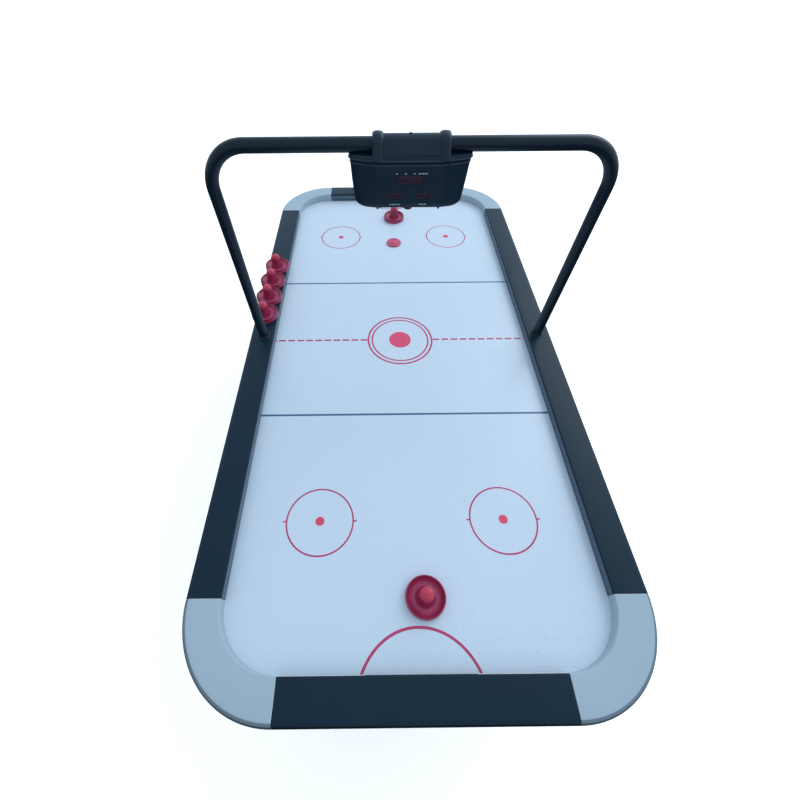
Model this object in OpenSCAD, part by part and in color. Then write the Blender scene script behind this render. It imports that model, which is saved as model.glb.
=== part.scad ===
/* [Table] */
// Overall length of the table at the rails
table_l = 2133.6; // [2000:1:2300]
// Overall width of the table at the rails
table_w = 1066.8; // [1000:1:1200]
// Height of the rail tops above the floor
table_h = 812.8; // [790:1:850]
// Outer radius of the rounded table corners
corner_r = 230; // [180:1:260]

/* [Rails] */
// Width of the top rails
rail_w = 84.6; // [80:0.1:95]
// Height of the rail tops above the playing surface
rail_h = 30.5; // [28:0.5:36]
// Rounding of the outer top edge of the rails
rail_outer_round = 15; // [8:1:20]
// Rounding of the inner top edge of the rails
rail_inner_round = 3; // [1:0.5:3]
// Thickness of the metal liner on the inner walls
liner_t = 1.5; // [1:0.1:2.5]
// Height of the metal liner
liner_h = 26; // [24:0.5:26.5]
// Gap left at every seam between rails and corners
seam_gap = 0.6; // [0.3:0.1:1.5]
// Wall thickness of the moulded corners
corner_wall = 4; // [3:0.5:5]

/* [Cabinet] */
// Thickness of the aprons
apron_t = 18; // [15:1:20]
// Height of the aprons below the playing surface
apron_h = 220; // [210:1:240]
// Thickness of the playing surface
field_t = 12; // [9:1:15]
// Distance the playing surface runs under the side rails
field_lap = 12; // [8:1:12]
// Inner height of the air chamber
plenum_h = 50; // [45:1:60]
// Thickness of the air chamber boards
plenum_t = 15; // [12:1:18]
// Thickness of the air chamber floor
floor_t = 9; // [6:1:12]
// Number of ribs across the air chamber
rib_count = 5; // [3:2:7]

/* [Goals] */
// Width of the goal mouths
goal_w = 236; // [180:1:260]
// Height of the goal mouths
goal_h = 16; // [14:0.5:18]
// Height of the puck return windows in the end aprons
return_h = 79; // [70:1:84]
// Wall thickness of the puck return trays
tray_wall = 4; // [3:0.5:4]

/* [Legs] */
// Width of a leg across the table
leg_w = 110; // [90:1:120]
// Depth of a leg along the table
leg_d = 90; // [70:1:100]
// Wall thickness of a leg
leg_wall = 12; // [10:1:15]
// Height of the bottom of the legs above the floor
leg_bottom_z = 30; // [26:1:40]
// Height of the lower edge of the stretchers
stretcher_z = 300; // [200:5:400]
// Height of a stretcher board
stretcher_h = 90; // [60:1:120]

/* [Arch] */
// Outer diameter of the arch tube
tube_d = 31.75; // [30:0.25:34]
// Wall thickness of the arch tube
tube_wall = 1.5; // [1:0.1:2]
// Distance of each post from the middle of the table
post_x = 483.8; // [480:0.1:486]
// Place of the arch along the table
arch_y = -4; // [-100:1:100]
// Height of the top bar above the playing surface
bar_rise = 628.5; // [560:0.5:700]
// Radius of the bends at the middle of the tube
bend_r = 99.5; // [80:0.5:120]

/* [Score unit] */
// Distance of the score unit from the middle of the table
scorer_x = -5.5; // [-40:1:40]
// Half of the largest width of the case
case_half_w = 141.5; // [130:0.5:150]
// Half of the depth of the case
case_half_d = 31; // [28:1:36]
// Half of the width of the flat front panel
panel_half_w = 80; // [60:1:84]
// Wall thickness of the case
case_wall = 3; // [2:0.5:3.5]
// Travel of the push button
button_travel = 2; // [1:0.5:2.5]

/* [Pushers and puck] */
// Diameter of a pusher at its base
pusher_d = 95; // [94:0.5:96]
// Diameter of the puck
puck_d = 63.5; // [60:0.5:64]
// Thickness of the puck
puck_t = 6; // [5:0.5:8]

/* [Blower] */
// Radius of the blower wheel
wheel_r = 42; // [36:1:44]
// Number of blades on the blower wheel
blade_count = 20; // [12:1:24]
// Width of the blower housing along its shaft
blower_w = 64; // [60:1:70]

/* [Hidden] */
$fn = 64;

eps = 0.5;
half_l = table_l / 2;
half_w = table_w / 2;
field_z = table_h - rail_h;
in_x = half_w - rail_w;
in_y = half_l - rail_w;
corner_in_r = corner_r - rail_w;
corner_x = half_w - corner_r;
corner_y = half_l - corner_r;
apron_z = field_z - apron_h;
fit_gap = 0.3;
rest_gap = 0.1;

field_half_w = in_x + field_lap;
plenum_half_l = in_y - tray_wall - 0.5;
plenum_top_z = field_z - field_t;
floor_top_z = plenum_top_z - plenum_h;
floor_bottom_z = floor_top_z - floor_t;
rib_pitch = 2 * plenum_half_l / (rib_count + 1);
rib_vent_r = 15;
rib_vent_x = 280;

apron_in_x = half_w - apron_t;
apron_in_y = half_l - apron_t;

leg_x = apron_in_x - 0.4 - leg_w / 2;
leg_y = corner_y - 52;
leg_top_z = floor_bottom_z - 0.2;
leg_block_h = 40;
leg_cap_t = 11;
insert_r = 7.95;
insert_flange_r = 12;
insert_flange_t = 2;
insert_l = 28;
stem_r = 5;
stem_fit = 0.06;
stem_top_z = 88;
foot_r = 28;
foot_h = 10;
bolt_r = 4;
bolt_hole_r = 4.2;
bolt_tip_x = apron_in_x + 11;
bolt_rise = [600, 680];

tray_half_w = goal_w / 2;
tray_top_z = plenum_top_z - fit_gap;
tray_bottom_z = tray_top_z - return_h + 1;
tray_floor_rise = 12;
tray_lip_h = 14;
window_gap = 0.4;
ear_w = 18;
ear_t = 3;
sensor_y = in_y + 30;
sensor_z = plenum_top_z - 18;

bar_z = field_z + bar_rise;
tube_r = tube_d / 2;
tube_in_r = tube_r - tube_wall;
post_bottom_z = field_z - 82;
joiner_l = 120;
socket_h = 8;
socket_w = 5.5;
bracket_z = 715;
bracket_h = 48;
bracket_d = 50;

seam_z = field_z + 598;
flange_bottom_z = seam_z + 6;
flange_top_z = seam_z + 16;
flange_ease = 2;
case_bottom_z = field_z + 499;
sleeve_r = 21;
ridge_r = 26;
sleeve_half_l = 63;
ridge_w = 25;
lens_t = 1.5;
lens_inset = 0.6;
time_window = [58, 19];
score_window = [31.5, 15.5];
time_z = field_z + 564;
score_z = field_z + 528;
score_x = 33;
board_y = 13;
board_t = 1.6;
board_half_w = 95;
board_z0 = field_z + 512;
board_h = 76;
boss_x = 60;
boss_z = [field_z + 519, field_z + 589];
boss_r = 4.5;
button_at = [0, -10.5];
button_r = 11.5;
button_collar = 1.2;
button_drop = 9 + button_travel;
peg_x = 76;
peg_y = -20;
peg_r = 3;
peg_drop = 7;

screw_r = 2;
screw_hole_r = 2.1;
screw_head_r = 4;
screw_head_h = 2.4;

blower_y = 117;
blower_drop = 80;
blower_z = floor_bottom_z - blower_drop;
scroll_min_r = 50;
scroll_max_r = 66;
duct_w = 46;
blower_wall = 2.5;
blower_flange_t = 4;
blower_flange_lap = 14;
shaft_r = 3;

switch_y = 560;
panel_z = field_z - 92;
panel_size = [90, 50];
panel_t = 3;
rocker_dy = -22;
inlet_dy = 18;
rocker_half = [7, 11];
rocker_tilt = 6;
pin_r = 1.5;

knob_r = 17;
knob_z = 43;
pusher_near_at = [20, -836, field_z + rest_gap];
pusher_far_at = [8, 808, field_z + rest_gap];
puck_at = [0, 602, field_z + rest_gap];
rail_pusher_at = [[-495, 101], [-493, 196.6], [-493, 292.2], [-488.4, 387.8]];

// ---------- shared shapes ----------

module corner_waste(r) {
    difference() {
        square([r + 1, r + 1]);
        circle(r = r);
    }
}

// Rectangle with both top corners rounded
module eased_block(w, h, right_r, left_r) {
    difference() {
        square([w, h]);
        translate([w - right_r, h - right_r]) corner_waste(right_r);
        translate([left_r, h - left_r]) mirror([1, 0]) corner_waste(left_r);
    }
}

module rail_section() {
    eased_block(rail_w, rail_h, rail_outer_round, rail_inner_round);
}

// Rail cross-section with a shallow seat for the metal liner
module lined_rail_section() {
    difference() {
        rail_section();
        translate([-1, -1]) square([liner_t + 1, liner_h + 1.5]);
    }
}

module along_x(length) {
    rotate([90, 0, 90]) linear_extrude(length) children();
}

module along_y(length) {
    translate([0, length, 0]) rotate([90, 0, 0]) linear_extrude(length) children();
}

module if_mirrored(flip_x, flip_y) {
    mirror([flip_x ? 1 : 0, 0, 0]) mirror([0, flip_y ? 1 : 0, 0]) children();
}

module at_four_legs() {
    for (sx = [-1, 1], sy = [-1, 1]) translate([sx * leg_x, sy * leg_y, 0]) children();
}

// ---------- playing surface and air chamber ----------

module playfield() {
    color("aliceblue")
    translate([-field_half_w, -in_y + fit_gap, plenum_top_z])
    cube([2 * field_half_w, 2 * (in_y - fit_gap), field_t]);
}

module plenum_frame() {
    end_l = 2 * field_half_w;
    side_l = 2 * (plenum_half_l - plenum_t - 0.5);
    color("burlywood") {
        for (s = [-1, 1])
            translate([s * (field_half_w - plenum_t / 2), 0, floor_top_z + plenum_h / 2])
            cube([plenum_t, side_l, plenum_h], center = true);
        for (s = [-1, 1])
            translate([0, s * (plenum_half_l - plenum_t / 2), floor_top_z + plenum_h / 2])
            cube([end_l, plenum_t, plenum_h], center = true);
    }
}

module plenum_ribs() {
    rib_l = 2 * (field_half_w - plenum_t - 0.5);
    color("burlywood")
    for (i = [1 : rib_count])
        translate([0, i * rib_pitch - plenum_half_l, floor_top_z + plenum_h / 2])
        difference() {
            cube([rib_l, plenum_t, plenum_h], center = true);
            for (k = [-1, 0, 1])
                translate([k * rib_vent_x, 0, 0])
                rotate([90, 0, 0]) cylinder(r = rib_vent_r, h = plenum_t + 2, center = true);
        }
}

module plenum_floor() {
    color("burlywood")
    difference() {
        translate([-field_half_w, -plenum_half_l, floor_bottom_z])
        cube([2 * field_half_w, 2 * plenum_half_l, floor_t]);
        translate([0, blower_y + scroll_max_r - duct_w / 2, floor_bottom_z + floor_t / 2])
        cube([blower_w - 6, duct_w - 6, floor_t + 2], center = true);
        blower_screw_places() cylinder(r = screw_hole_r, h = 30, center = true);
    }
}

// ---------- rails, corners and liners ----------

module side_rail(flip) {
    rail_l = 2 * (corner_y - seam_gap);
    color("#26333f")
    if_mirrored(flip, false)
    difference() {
        translate([in_x, -rail_l / 2, field_z]) along_y(rail_l) lined_rail_section();
        translate([post_x, arch_y, field_z - 1]) cylinder(r = tube_r + fit_gap, h = rail_h + 2);
    }
}

module end_rail(flip) {
    rail_l = 2 * (corner_x - seam_gap);
    color("#26333f")
    if_mirrored(false, flip)
    difference() {
        translate([-rail_l / 2, in_y, field_z]) along_x(rail_l) lined_rail_section();
        translate([-goal_w / 2, in_y - 1, field_z - 1])
        cube([goal_w, apron_in_y - in_y + 1, goal_h + 1]);
    }
}

module corner_section() {
    inner_w = rail_w - 2 * corner_wall;
    inner_h = rail_h - corner_wall;
    difference() {
        union() {
            rail_section();
            translate([rail_w - corner_wall, -apron_h]) square([corner_wall, apron_h + 1]);
        }
        translate([corner_wall, -eps])
        eased_block(inner_w, inner_h + eps, rail_outer_round - corner_wall, 1);
    }
}

module corner(flip_x, flip_y) {
    color("#b9cbd9")
    if_mirrored(flip_x, flip_y)
    translate([corner_x, corner_y, field_z])
    rotate_extrude(angle = 90, $fn = 128) translate([corner_in_r, 0]) corner_section();
}

module rail_liners() {
    side_l = 2 * (corner_y - seam_gap);
    end_l = corner_x - seam_gap - goal_w / 2;
    color("silver")
    for (s = [0, 1]) {
        if_mirrored(s == 1, false)
            translate([in_x, -side_l / 2, field_z + fit_gap]) cube([liner_t, side_l, liner_h]);
        for (e = [0, 1])
            if_mirrored(s == 1, e == 1)
            translate([goal_w / 2, in_y, field_z + fit_gap]) cube([end_l, liner_t, liner_h]);
    }
}

// ---------- aprons ----------

module side_apron(flip) {
    apron_l = 2 * (corner_y - seam_gap);
    if_mirrored(flip, false)
    difference() {
        translate([apron_in_x, -apron_l / 2, apron_z]) cube([apron_t, apron_l, apron_h]);
        for (s = [-1, 1], z = bolt_rise)
            translate([apron_in_x - 1, s * leg_y, z])
            rotate([0, 90, 0]) cylinder(r = bolt_hole_r, h = bolt_tip_x - apron_in_x + 2);
    }
}

module side_apron_left() {
    color("#1e262e") side_apron(true);
}

module side_apron_right() {
    seat = panel_t + 0.2;
    color("#1e262e")
    difference() {
        side_apron(false);
        translate([half_w - seat, switch_y - panel_size[0] / 2 - 0.3, panel_z - panel_size[1] / 2 - 0.3])
        cube([seat + 1, panel_size[0] + 0.6, panel_size[1] + 0.6]);
        translate([apron_in_x - 1, switch_y - 36, panel_z - 15]) cube([apron_t + 2, 72, 30]);
    }
}

module end_apron(flip) {
    apron_l = 2 * (corner_x - seam_gap);
    window_w = goal_w + 2 * (tray_wall + window_gap);
    color("#1e262e")
    if_mirrored(false, flip)
    difference() {
        translate([-apron_l / 2, apron_in_y, apron_z]) cube([apron_l, apron_t, apron_h]);
        translate([-window_w / 2, apron_in_y - 1, tray_bottom_z - window_gap])
        cube([window_w, apron_t + 2, return_h + window_gap]);
        tray_screw_places()
        rotate([90, 0, 0]) cylinder(r = screw_hole_r, h = 24, center = true);
    }
}

// ---------- legs ----------

module leg(sx, sy) {
    inner = [leg_w - 2 * leg_wall, leg_d - 2 * leg_wall];
    hollow_h = leg_top_z - leg_cap_t - leg_bottom_z - leg_block_h;
    color("#20272e")
    translate([sx * leg_x, sy * leg_y, 0])
    difference() {
        translate([-leg_w / 2, -leg_d / 2, leg_bottom_z])
        cube([leg_w, leg_d, leg_top_z - leg_bottom_z]);
        translate([-inner[0] / 2, -inner[1] / 2, leg_bottom_z + leg_block_h])
        cube([inner[0], inner[1], hollow_h]);
        translate([0, 0, leg_bottom_z - 1]) cylinder(r = insert_r + 0.05, h = leg_block_h + 2);
        for (z = bolt_rise)
            translate([0, 0, z])
            rotate([0, 90, 0]) cylinder(r = bolt_hole_r, h = leg_w + 2, center = true);
    }
}

module leg_stretcher(sy) {
    span = 2 * (leg_x - leg_w / 2 - 0.2);
    color("#20272e")
    translate([-span / 2, sy * leg_y - apron_t / 2, stretcher_z])
    cube([span, apron_t, stretcher_h]);
}

module leg_inserts() {
    color("silver")
    at_four_legs()
    difference() {
        union() {
            translate([0, 0, leg_bottom_z - insert_flange_t])
            cylinder(r = insert_flange_r, h = insert_flange_t);
            translate([0, 0, leg_bottom_z - 0.5]) cylinder(r = insert_r, h = insert_l + 0.5);
        }
        cylinder(r = stem_r + stem_fit, h = leg_bottom_z + insert_l + 2);
    }
}

module leg_bolts() {
    head_x = leg_x - leg_w / 2;
    color("gray")
    for (sx = [0, 1], sy = [-1, 1], z = bolt_rise)
        if_mirrored(sx == 1, false)
        translate([head_x, sy * leg_y, z])
        rotate([0, -90, 0]) {
            cylinder(r = 9, h = 1.5);
            translate([0, 0, 1.5 - eps]) cylinder(r = 7.5, h = 5.3 + eps, $fn = 6);
            translate([0, 0, head_x - bolt_tip_x]) cylinder(r = bolt_r, h = bolt_tip_x - head_x + eps);
        }
}

module leveler(sx, sy) {
    color("dimgray")
    translate([sx * leg_x, sy * leg_y, 0]) {
        rotate_extrude() eased_block(foot_r, foot_h, 4, 0.1);
        translate([0, 0, foot_h - eps]) cylinder(r = 8.5, h = 7 + eps, $fn = 6);
        translate([0, 0, foot_h]) cylinder(r = stem_r, h = stem_top_z - foot_h);
    }
}

// ---------- goals ----------

module tray_screw_places() {
    for (s = [-1, 1], z = [tray_bottom_z + 12, tray_top_z - 12])
        translate([s * (tray_half_w + tray_wall + ear_w / 2), apron_in_y, z]) children();
}

// Tray section seen from the side, with a floor that falls towards the window
module tray_section(inset) {
    in_wall_y = in_y - tray_wall + inset;
    out_y = half_l - 0.5;
    polygon([
        [in_wall_y, tray_bottom_z + inset + (inset > 0 ? tray_floor_rise : 0)],
        [out_y - inset, tray_bottom_z + inset],
        [out_y - inset, tray_top_z],
        [in_wall_y, tray_top_z]
    ]);
}

module goal_tray(flip) {
    outer_half = tray_half_w + tray_wall;
    color("#15191d")
    if_mirrored(false, flip)
    difference() {
        union() {
            translate([-outer_half, 0, 0]) along_x(2 * outer_half) tray_section(0);
            translate([-outer_half - ear_w, apron_in_y - ear_t, tray_bottom_z])
            cube([2 * (outer_half + ear_w), ear_t, tray_top_z - tray_bottom_z]);
        }
        translate([-tray_half_w, 0, 0]) along_x(goal_w) tray_section(tray_wall);
        translate([-tray_half_w, in_y, tray_top_z - 1]) cube([goal_w, half_l, 2]);
        translate([-tray_half_w, half_l - 12, tray_bottom_z + tray_wall + tray_lip_h])
        cube([goal_w, 20, return_h]);
        tray_screw_places()
        rotate([90, 0, 0]) cylinder(r = screw_hole_r, h = 24, center = true);
        translate([-outer_half - 1, sensor_y, sensor_z])
        rotate([0, 90, 0]) cylinder(r = 2.5, h = 2 * outer_half + 2);
    }
}

module goal_sensors() {
    size = [11, 18, 14];
    color("#2b2b2b")
    for (fx = [0, 1], fy = [0, 1])
        if_mirrored(fx == 1, fy == 1)
        translate([tray_half_w + tray_wall, sensor_y - size[1] / 2, sensor_z - size[2] / 2]) {
            cube(size);
            translate([eps, size[1] / 2, size[2] / 2])
            rotate([0, -90, 0]) cylinder(r = 2.4, h = tray_wall / 2 + eps);
        }
}

// ---------- blower ----------

function scroll_r(a, inset) = scroll_max_r - (scroll_max_r - scroll_min_r) * a / 300 - inset;

// Spiral casing outline with its duct rising on one side
module scroll_outline(inset, duct_top) {
    polygon([for (a = [0 : 10 : 300]) [scroll_r(a, inset) * cos(a), -scroll_r(a, inset) * sin(a)]]);
    translate([scroll_max_r - duct_w + inset, 0]) square([duct_w - 2 * inset, duct_top]);
}

module blower_screw_places() {
    duct_y = blower_y + scroll_max_r - duct_w / 2;
    for (sx = [-1, 1], sy = [-1, 1])
        translate([
            sx * (blower_w / 2 + blower_flange_lap / 2),
            duct_y + sy * (duct_w / 2 - 6),
            floor_bottom_z
        ])
        children();
}

module blower_housing() {
    duct_top = blower_drop - blower_flange_t;
    duct_y = blower_y + scroll_max_r - duct_w / 2;
    inner_w = blower_w - 2 * blower_wall;
    color("#1a1d20")
    difference() {
        union() {
            translate([-blower_w / 2, blower_y, blower_z])
            along_x(blower_w) scroll_outline(0, duct_top);
            translate([0, duct_y, floor_bottom_z - blower_flange_t / 2])
            cube([blower_w + 2 * blower_flange_lap, duct_w, blower_flange_t], center = true);
        }
        translate([-inner_w / 2, blower_y, blower_z])
        along_x(inner_w) scroll_outline(blower_wall, blower_drop + 1);
        translate([0, blower_y, blower_z])
        rotate([0, 90, 0]) cylinder(r = wheel_r - 8, h = blower_w);
        translate([-blower_w, blower_y, blower_z]) rotate([0, 90, 0]) cylinder(r = 6, h = blower_w);
        blower_screw_places() cylinder(r = screw_hole_r, h = 30, center = true);
    }
}

module blower_impeller() {
    wheel_w = blower_w - 16;
    disc_t = 2;
    color("gray")
    translate([0, blower_y, blower_z])
    rotate([0, 90, 0])
    translate([0, 0, -wheel_w / 2]) {
        cylinder(r = wheel_r, h = disc_t);
        cylinder(r = 9, h = 20);
        translate([0, 0, -38]) cylinder(r = shaft_r, h = 45);
        for (i = [0 : blade_count - 1])
            rotate([0, 0, i * 360 / blade_count])
            translate([wheel_r - 5.5, 0, disc_t - eps])
            rotate([0, 0, 35])
            translate([-4.5, -0.6, 0]) cube([9, 1.2, wheel_w - disc_t]);
        translate([0, 0, wheel_w - disc_t])
        difference() {
            cylinder(r = wheel_r, h = disc_t);
            translate([0, 0, -1]) cylinder(r = wheel_r - 9, h = disc_t + 2);
        }
    }
}

module blower_motor() {
    color("darkgray")
    translate([-blower_w / 2, blower_y, blower_z])
    rotate([0, -90, 0])
    difference() {
        union() {
            cylinder(r = 34, h = 4);
            translate([0, 0, 4 - eps]) cylinder(r = 30, h = 38 + eps);
            translate([0, 0, 42 - eps]) cylinder(r = 12, h = 5 + eps);
        }
        translate([0, 0, -1]) cylinder(r = shaft_r + 0.05, h = 41);
    }
}

module blower_grille() {
    grille_r = wheel_r + 2;
    bar = 2.4;
    color("#1a1d20")
    translate([blower_w / 2, blower_y, blower_z])
    rotate([0, 90, 0]) {
        for (r = [8 : 9 : grille_r])
            difference() {
                cylinder(r = r, h = bar);
                translate([0, 0, -1]) cylinder(r = r - bar, h = bar + 2);
            }
        for (a = [0 : 60 : 120])
            rotate([0, 0, a]) translate([-grille_r, -bar / 2, 0]) cube([2 * grille_r, bar, bar]);
    }
}

// ---------- power panel ----------

module power_panel() {
    face_x = half_w - 0.2;
    pocket = [13, 2 * rocker_half[0] + 4.6, 2 * rocker_half[1] + 4.6];
    color("#15191d")
    translate([face_x, switch_y, panel_z])
    difference() {
        union() {
            translate([-panel_t, -panel_size[0] / 2, -panel_size[1] / 2])
            cube([panel_t, panel_size[0], panel_size[1]]);
            translate([-panel_t - pocket[0], rocker_dy - pocket[1] / 2, -pocket[2] / 2])
            cube([pocket[0] + eps, pocket[1], pocket[2]]);
        }
        translate([-panel_t - pocket[0] + 1.5, rocker_dy - rocker_half[0] - 0.3, -rocker_half[1] - 0.3])
        cube([30, 2 * rocker_half[0] + 0.6, 2 * rocker_half[1] + 0.6]);
        translate([-panel_t - 1, inlet_dy - 12, -8]) cube([panel_t + 2, 24, 16]);
        translate([-9, rocker_dy, 0])
        rotate([90, 0, 0]) cylinder(r = pin_r + 0.05, h = 2 * rocker_half[0] + 3.4, center = true, $fn = 32);
    }
}

module power_rocker() {
    color("#a02030")
    translate([half_w - 9.2, switch_y + rocker_dy, panel_z])
    rotate([0, rocker_tilt, 0]) {
        translate([0, -rocker_half[0], 0])
        along_y(2 * rocker_half[0])
        polygon([[5.5, -10], [4.3, 0], [5.5, 10], [1, 10.3], [-4, 4], [-4, -4], [1, -10.3]]);
        rotate([90, 0, 0]) cylinder(r = pin_r, h = 2 * rocker_half[0] + 3, center = true, $fn = 32);
    }
}

module power_inlet() {
    depth = 24;
    color("#101214")
    translate([half_w - 0.2 - panel_t, switch_y + inlet_dy, panel_z]) {
        difference() {
            translate([-depth, -14, -10]) cube([depth, 28, 20]);
            translate([-depth + 4, -12, -8]) cube([depth, 24, 16]);
        }
        for (p = [[-7, -2], [7, -2], [0, 3]])
            translate([-depth + 4 - eps, p[0] - 2, p[1] - 1]) cube([12 + eps, 4, 2]);
    }
}

// ---------- arch ----------

module arch_half_tube(r) {
    straight_x = post_x - bend_r;
    translate([post_x, arch_y, post_bottom_z]) cylinder(r = r, h = bar_z - bend_r - post_bottom_z);
    translate([straight_x, arch_y, bar_z - bend_r])
    rotate([90, 0, 0])
    rotate_extrude(angle = 90) translate([bend_r, 0]) circle(r = r);
}

module arch_tube(flip) {
    side = flip ? -1 : 1;
    bar_l = post_x - bend_r - side * scorer_x - 0.2;
    color("#1b232a")
    if_mirrored(flip, false)
    difference() {
        union() {
            arch_half_tube(tube_r);
            translate([post_x - bend_r, arch_y, bar_z])
            rotate([0, -90, 0]) cylinder(r = tube_r, h = bar_l);
        }
        arch_half_tube(tube_in_r);
        translate([post_x - bend_r, arch_y, bar_z])
        rotate([0, -90, 0]) cylinder(r = tube_in_r, h = bar_l + 1);
        translate([post_x, arch_y, post_bottom_z - 1]) cylinder(r = tube_in_r, h = 2);
    }
}

module arch_socket(flip) {
    color("#12171b")
    if_mirrored(flip, false)
    translate([post_x, arch_y, table_h])
    rotate_extrude() translate([tube_r + 0.15, 0]) eased_block(socket_w, socket_h, 4, 1);
}

module arch_brackets() {
    block_x = field_half_w + 2;
    color("dimgray")
    for (flip = [false, true])
        if_mirrored(flip, false)
        difference() {
            translate([block_x, arch_y - bracket_d / 2, bracket_z])
            cube([apron_in_x - 0.2 - block_x, bracket_d, bracket_h]);
            translate([post_x, arch_y, bracket_z - 1]) cylinder(r = tube_r + 0.1, h = bracket_h + 2);
        }
}

module arch_joiner() {
    color("silver")
    translate([scorer_x - joiner_l / 2, arch_y, bar_z])
    rotate([0, 90, 0]) cylinder(r = tube_in_r - 0.1, h = joiner_l);
}

// ---------- score unit ----------

// Plan of the case: a flat middle panel on each side and rounded ends
function case_plan(w, d, end_r) = concat(
    [for (a = [-75 : 15 : 75]) [w - end_r + end_r * cos(a), end_r * sin(a)]],
    [[panel_half_w, d], [-panel_half_w, d]],
    [for (a = [105 : 15 : 255]) [end_r - w + end_r * cos(a), end_r * sin(a)]],
    [[-panel_half_w, -d], [panel_half_w, -d]]
);

module case_layer(z, w, d, end_share) {
    translate([0, 0, z]) linear_extrude(0.02) polygon(case_plan(w, d, d * end_share));
}

// Whole case as one closed body, drawn smaller by the inset for its cavity
module case_body(inset, top_z) {
    hull() {
        case_layer(top_z - 0.02, case_half_w - inset, case_half_d - inset, 0.62);
        case_layer(case_bottom_z + 58, case_half_w - 4 - inset, case_half_d - inset, 0.7);
        case_layer(case_bottom_z + 16, case_half_w - 8 - inset, case_half_d - inset, 0.9);
        case_layer(case_bottom_z + 5, case_half_w - 14 - inset, case_half_d - 0.5 - inset, 0.9);
        case_layer(case_bottom_z + inset, case_half_w - 27 - inset, case_half_d - 4 - inset, 0.9);
    }
}

module case_tongue() {
    translate([0, 0, seam_z - eps])
    linear_extrude(flange_bottom_z - seam_z + eps - 0.2)
    polygon(case_plan(case_half_w - 1.4, case_half_d - 1.4, (case_half_d - 1.4) * 0.62));
}

module window_cuts() {
    depth = 2 * case_half_d + 10;
    translate([0, 0, time_z]) cube([time_window[0], depth, time_window[1]], center = true);
    for (s = [-1, 1])
        translate([s * score_x, 0, score_z])
        cube([score_window[0], depth, score_window[1]], center = true);
}

module at_scorer() {
    translate([scorer_x, arch_y, 0]) children();
}

module scorer_bosses() {
    for (s = [-1, 1], z = boss_z) translate([s * boss_x, 0, z]) rotate([90, 0, 0]) children();
}

module case_shell() {
    difference() {
        union() {
            case_body(0, seam_z);
            case_tongue();
        }
        case_body(case_wall, flange_bottom_z + 1);
        window_cuts();
        translate([button_at[0], button_at[1], case_bottom_z - 1])
        cylinder(r = button_r + 0.4, h = case_wall + 3);
    }
}

module scorer_front_shell() {
    boss_l = 2 * (case_half_d - case_wall) - 0.4;
    color("#202932")
    at_scorer()
    difference() {
        union() {
            intersection() {
                case_shell();
                translate([-200, -100, case_bottom_z - 1]) cube([400, 100 - 0.1, 120]);
            }
            scorer_bosses() translate([0, 0, 0.4]) cylinder(r = boss_r, h = boss_l + 0.6, center = true);
            for (s = [-1, 1])
                translate([s * peg_x, peg_y, case_bottom_z - peg_drop]) cylinder(r = peg_r, h = peg_drop + 1);
        }
        scorer_bosses()
        translate([0, 0, -case_half_d - 10])
        cylinder(r = screw_hole_r, h = 2 * case_half_d - case_wall + 4);
    }
}

module scorer_back_shell() {
    color("#202932")
    at_scorer()
    difference() {
        intersection() {
            case_shell();
            translate([-200, 0.1, case_bottom_z - 1]) cube([400, 100, 120]);
        }
        scorer_bosses() translate([0, 0, -60]) cylinder(r = screw_hole_r, h = 60);
    }
}

// Point where a line from p touches a circle of radius r about the origin
function tangent_point(p, r) = let (a = atan2(p[1], p[0]) + acos(r / norm(p))) [r * cos(a), r * sin(a)];

// Section of the sleeve over the bar: a circle blended into a flat foot
module sleeve_section(r, foot_half) {
    foot_z = flange_top_z - bar_z - 1;
    t = tangent_point([foot_half, foot_z + 4], r);
    circle(r = r);
    polygon([
        [-foot_half, foot_z], [foot_half, foot_z], [foot_half, foot_z + 4], t,
        [-t[0], t[1]], [-foot_half, foot_z + 4]
    ]);
}

// One step of the flange, reaching past the case by the overhang
module flange_step(z0, z1, overhang) {
    w = case_half_w + overhang;
    d = case_half_d + overhang;
    translate([0, 0, z0]) linear_extrude(z1 - z0) polygon(case_plan(w, d, d * 0.62));
}

module scorer_top_cover() {
    bore_l = 2 * case_half_w + 20;
    color("#242d37")
    at_scorer()
    difference() {
        union() {
            flange_step(flange_bottom_z, flange_top_z - flange_ease, 3);
            flange_step(flange_top_z - flange_ease - eps, flange_top_z, 1.5);
            translate([-sleeve_half_l - 1, 0, bar_z])
            along_x(2 * sleeve_half_l + 2) sleeve_section(sleeve_r, case_half_d - 1);
            for (x = [-sleeve_half_l - ridge_w, sleeve_half_l])
                translate([x, 0, bar_z]) along_x(ridge_w) sleeve_section(ridge_r, case_half_d + 0.5);
        }
        translate([-bore_l / 2, 0, bar_z]) rotate([0, 90, 0]) cylinder(r = tube_r + 0.1, h = bore_l);
        translate([0, 0, flange_bottom_z + 2]) cube([240, 40, 8], center = true);
    }
}

module scorer_windows() {
    color("#5a1020")
    at_scorer()
    for (s = [-1, 1]) {
        y = s * (case_half_d - lens_inset - lens_t / 2);
        translate([0, y, time_z]) cube([time_window[0] - 0.2, lens_t, time_window[1] - 0.2], center = true);
        for (k = [-1, 1])
            translate([k * score_x, y, score_z])
            cube([score_window[0] - 0.2, lens_t, score_window[1] - 0.2], center = true);
    }
}

module scorer_boards() {
    color("darkgreen")
    at_scorer()
    for (s = [-1, 1])
        difference() {
            translate([-board_half_w, s * (board_y + board_t / 2) - board_t / 2, board_z0])
            cube([2 * board_half_w, board_t, board_h]);
            scorer_bosses() cylinder(r = boss_r + 0.4, h = 60, center = true);
        }
}

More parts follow.
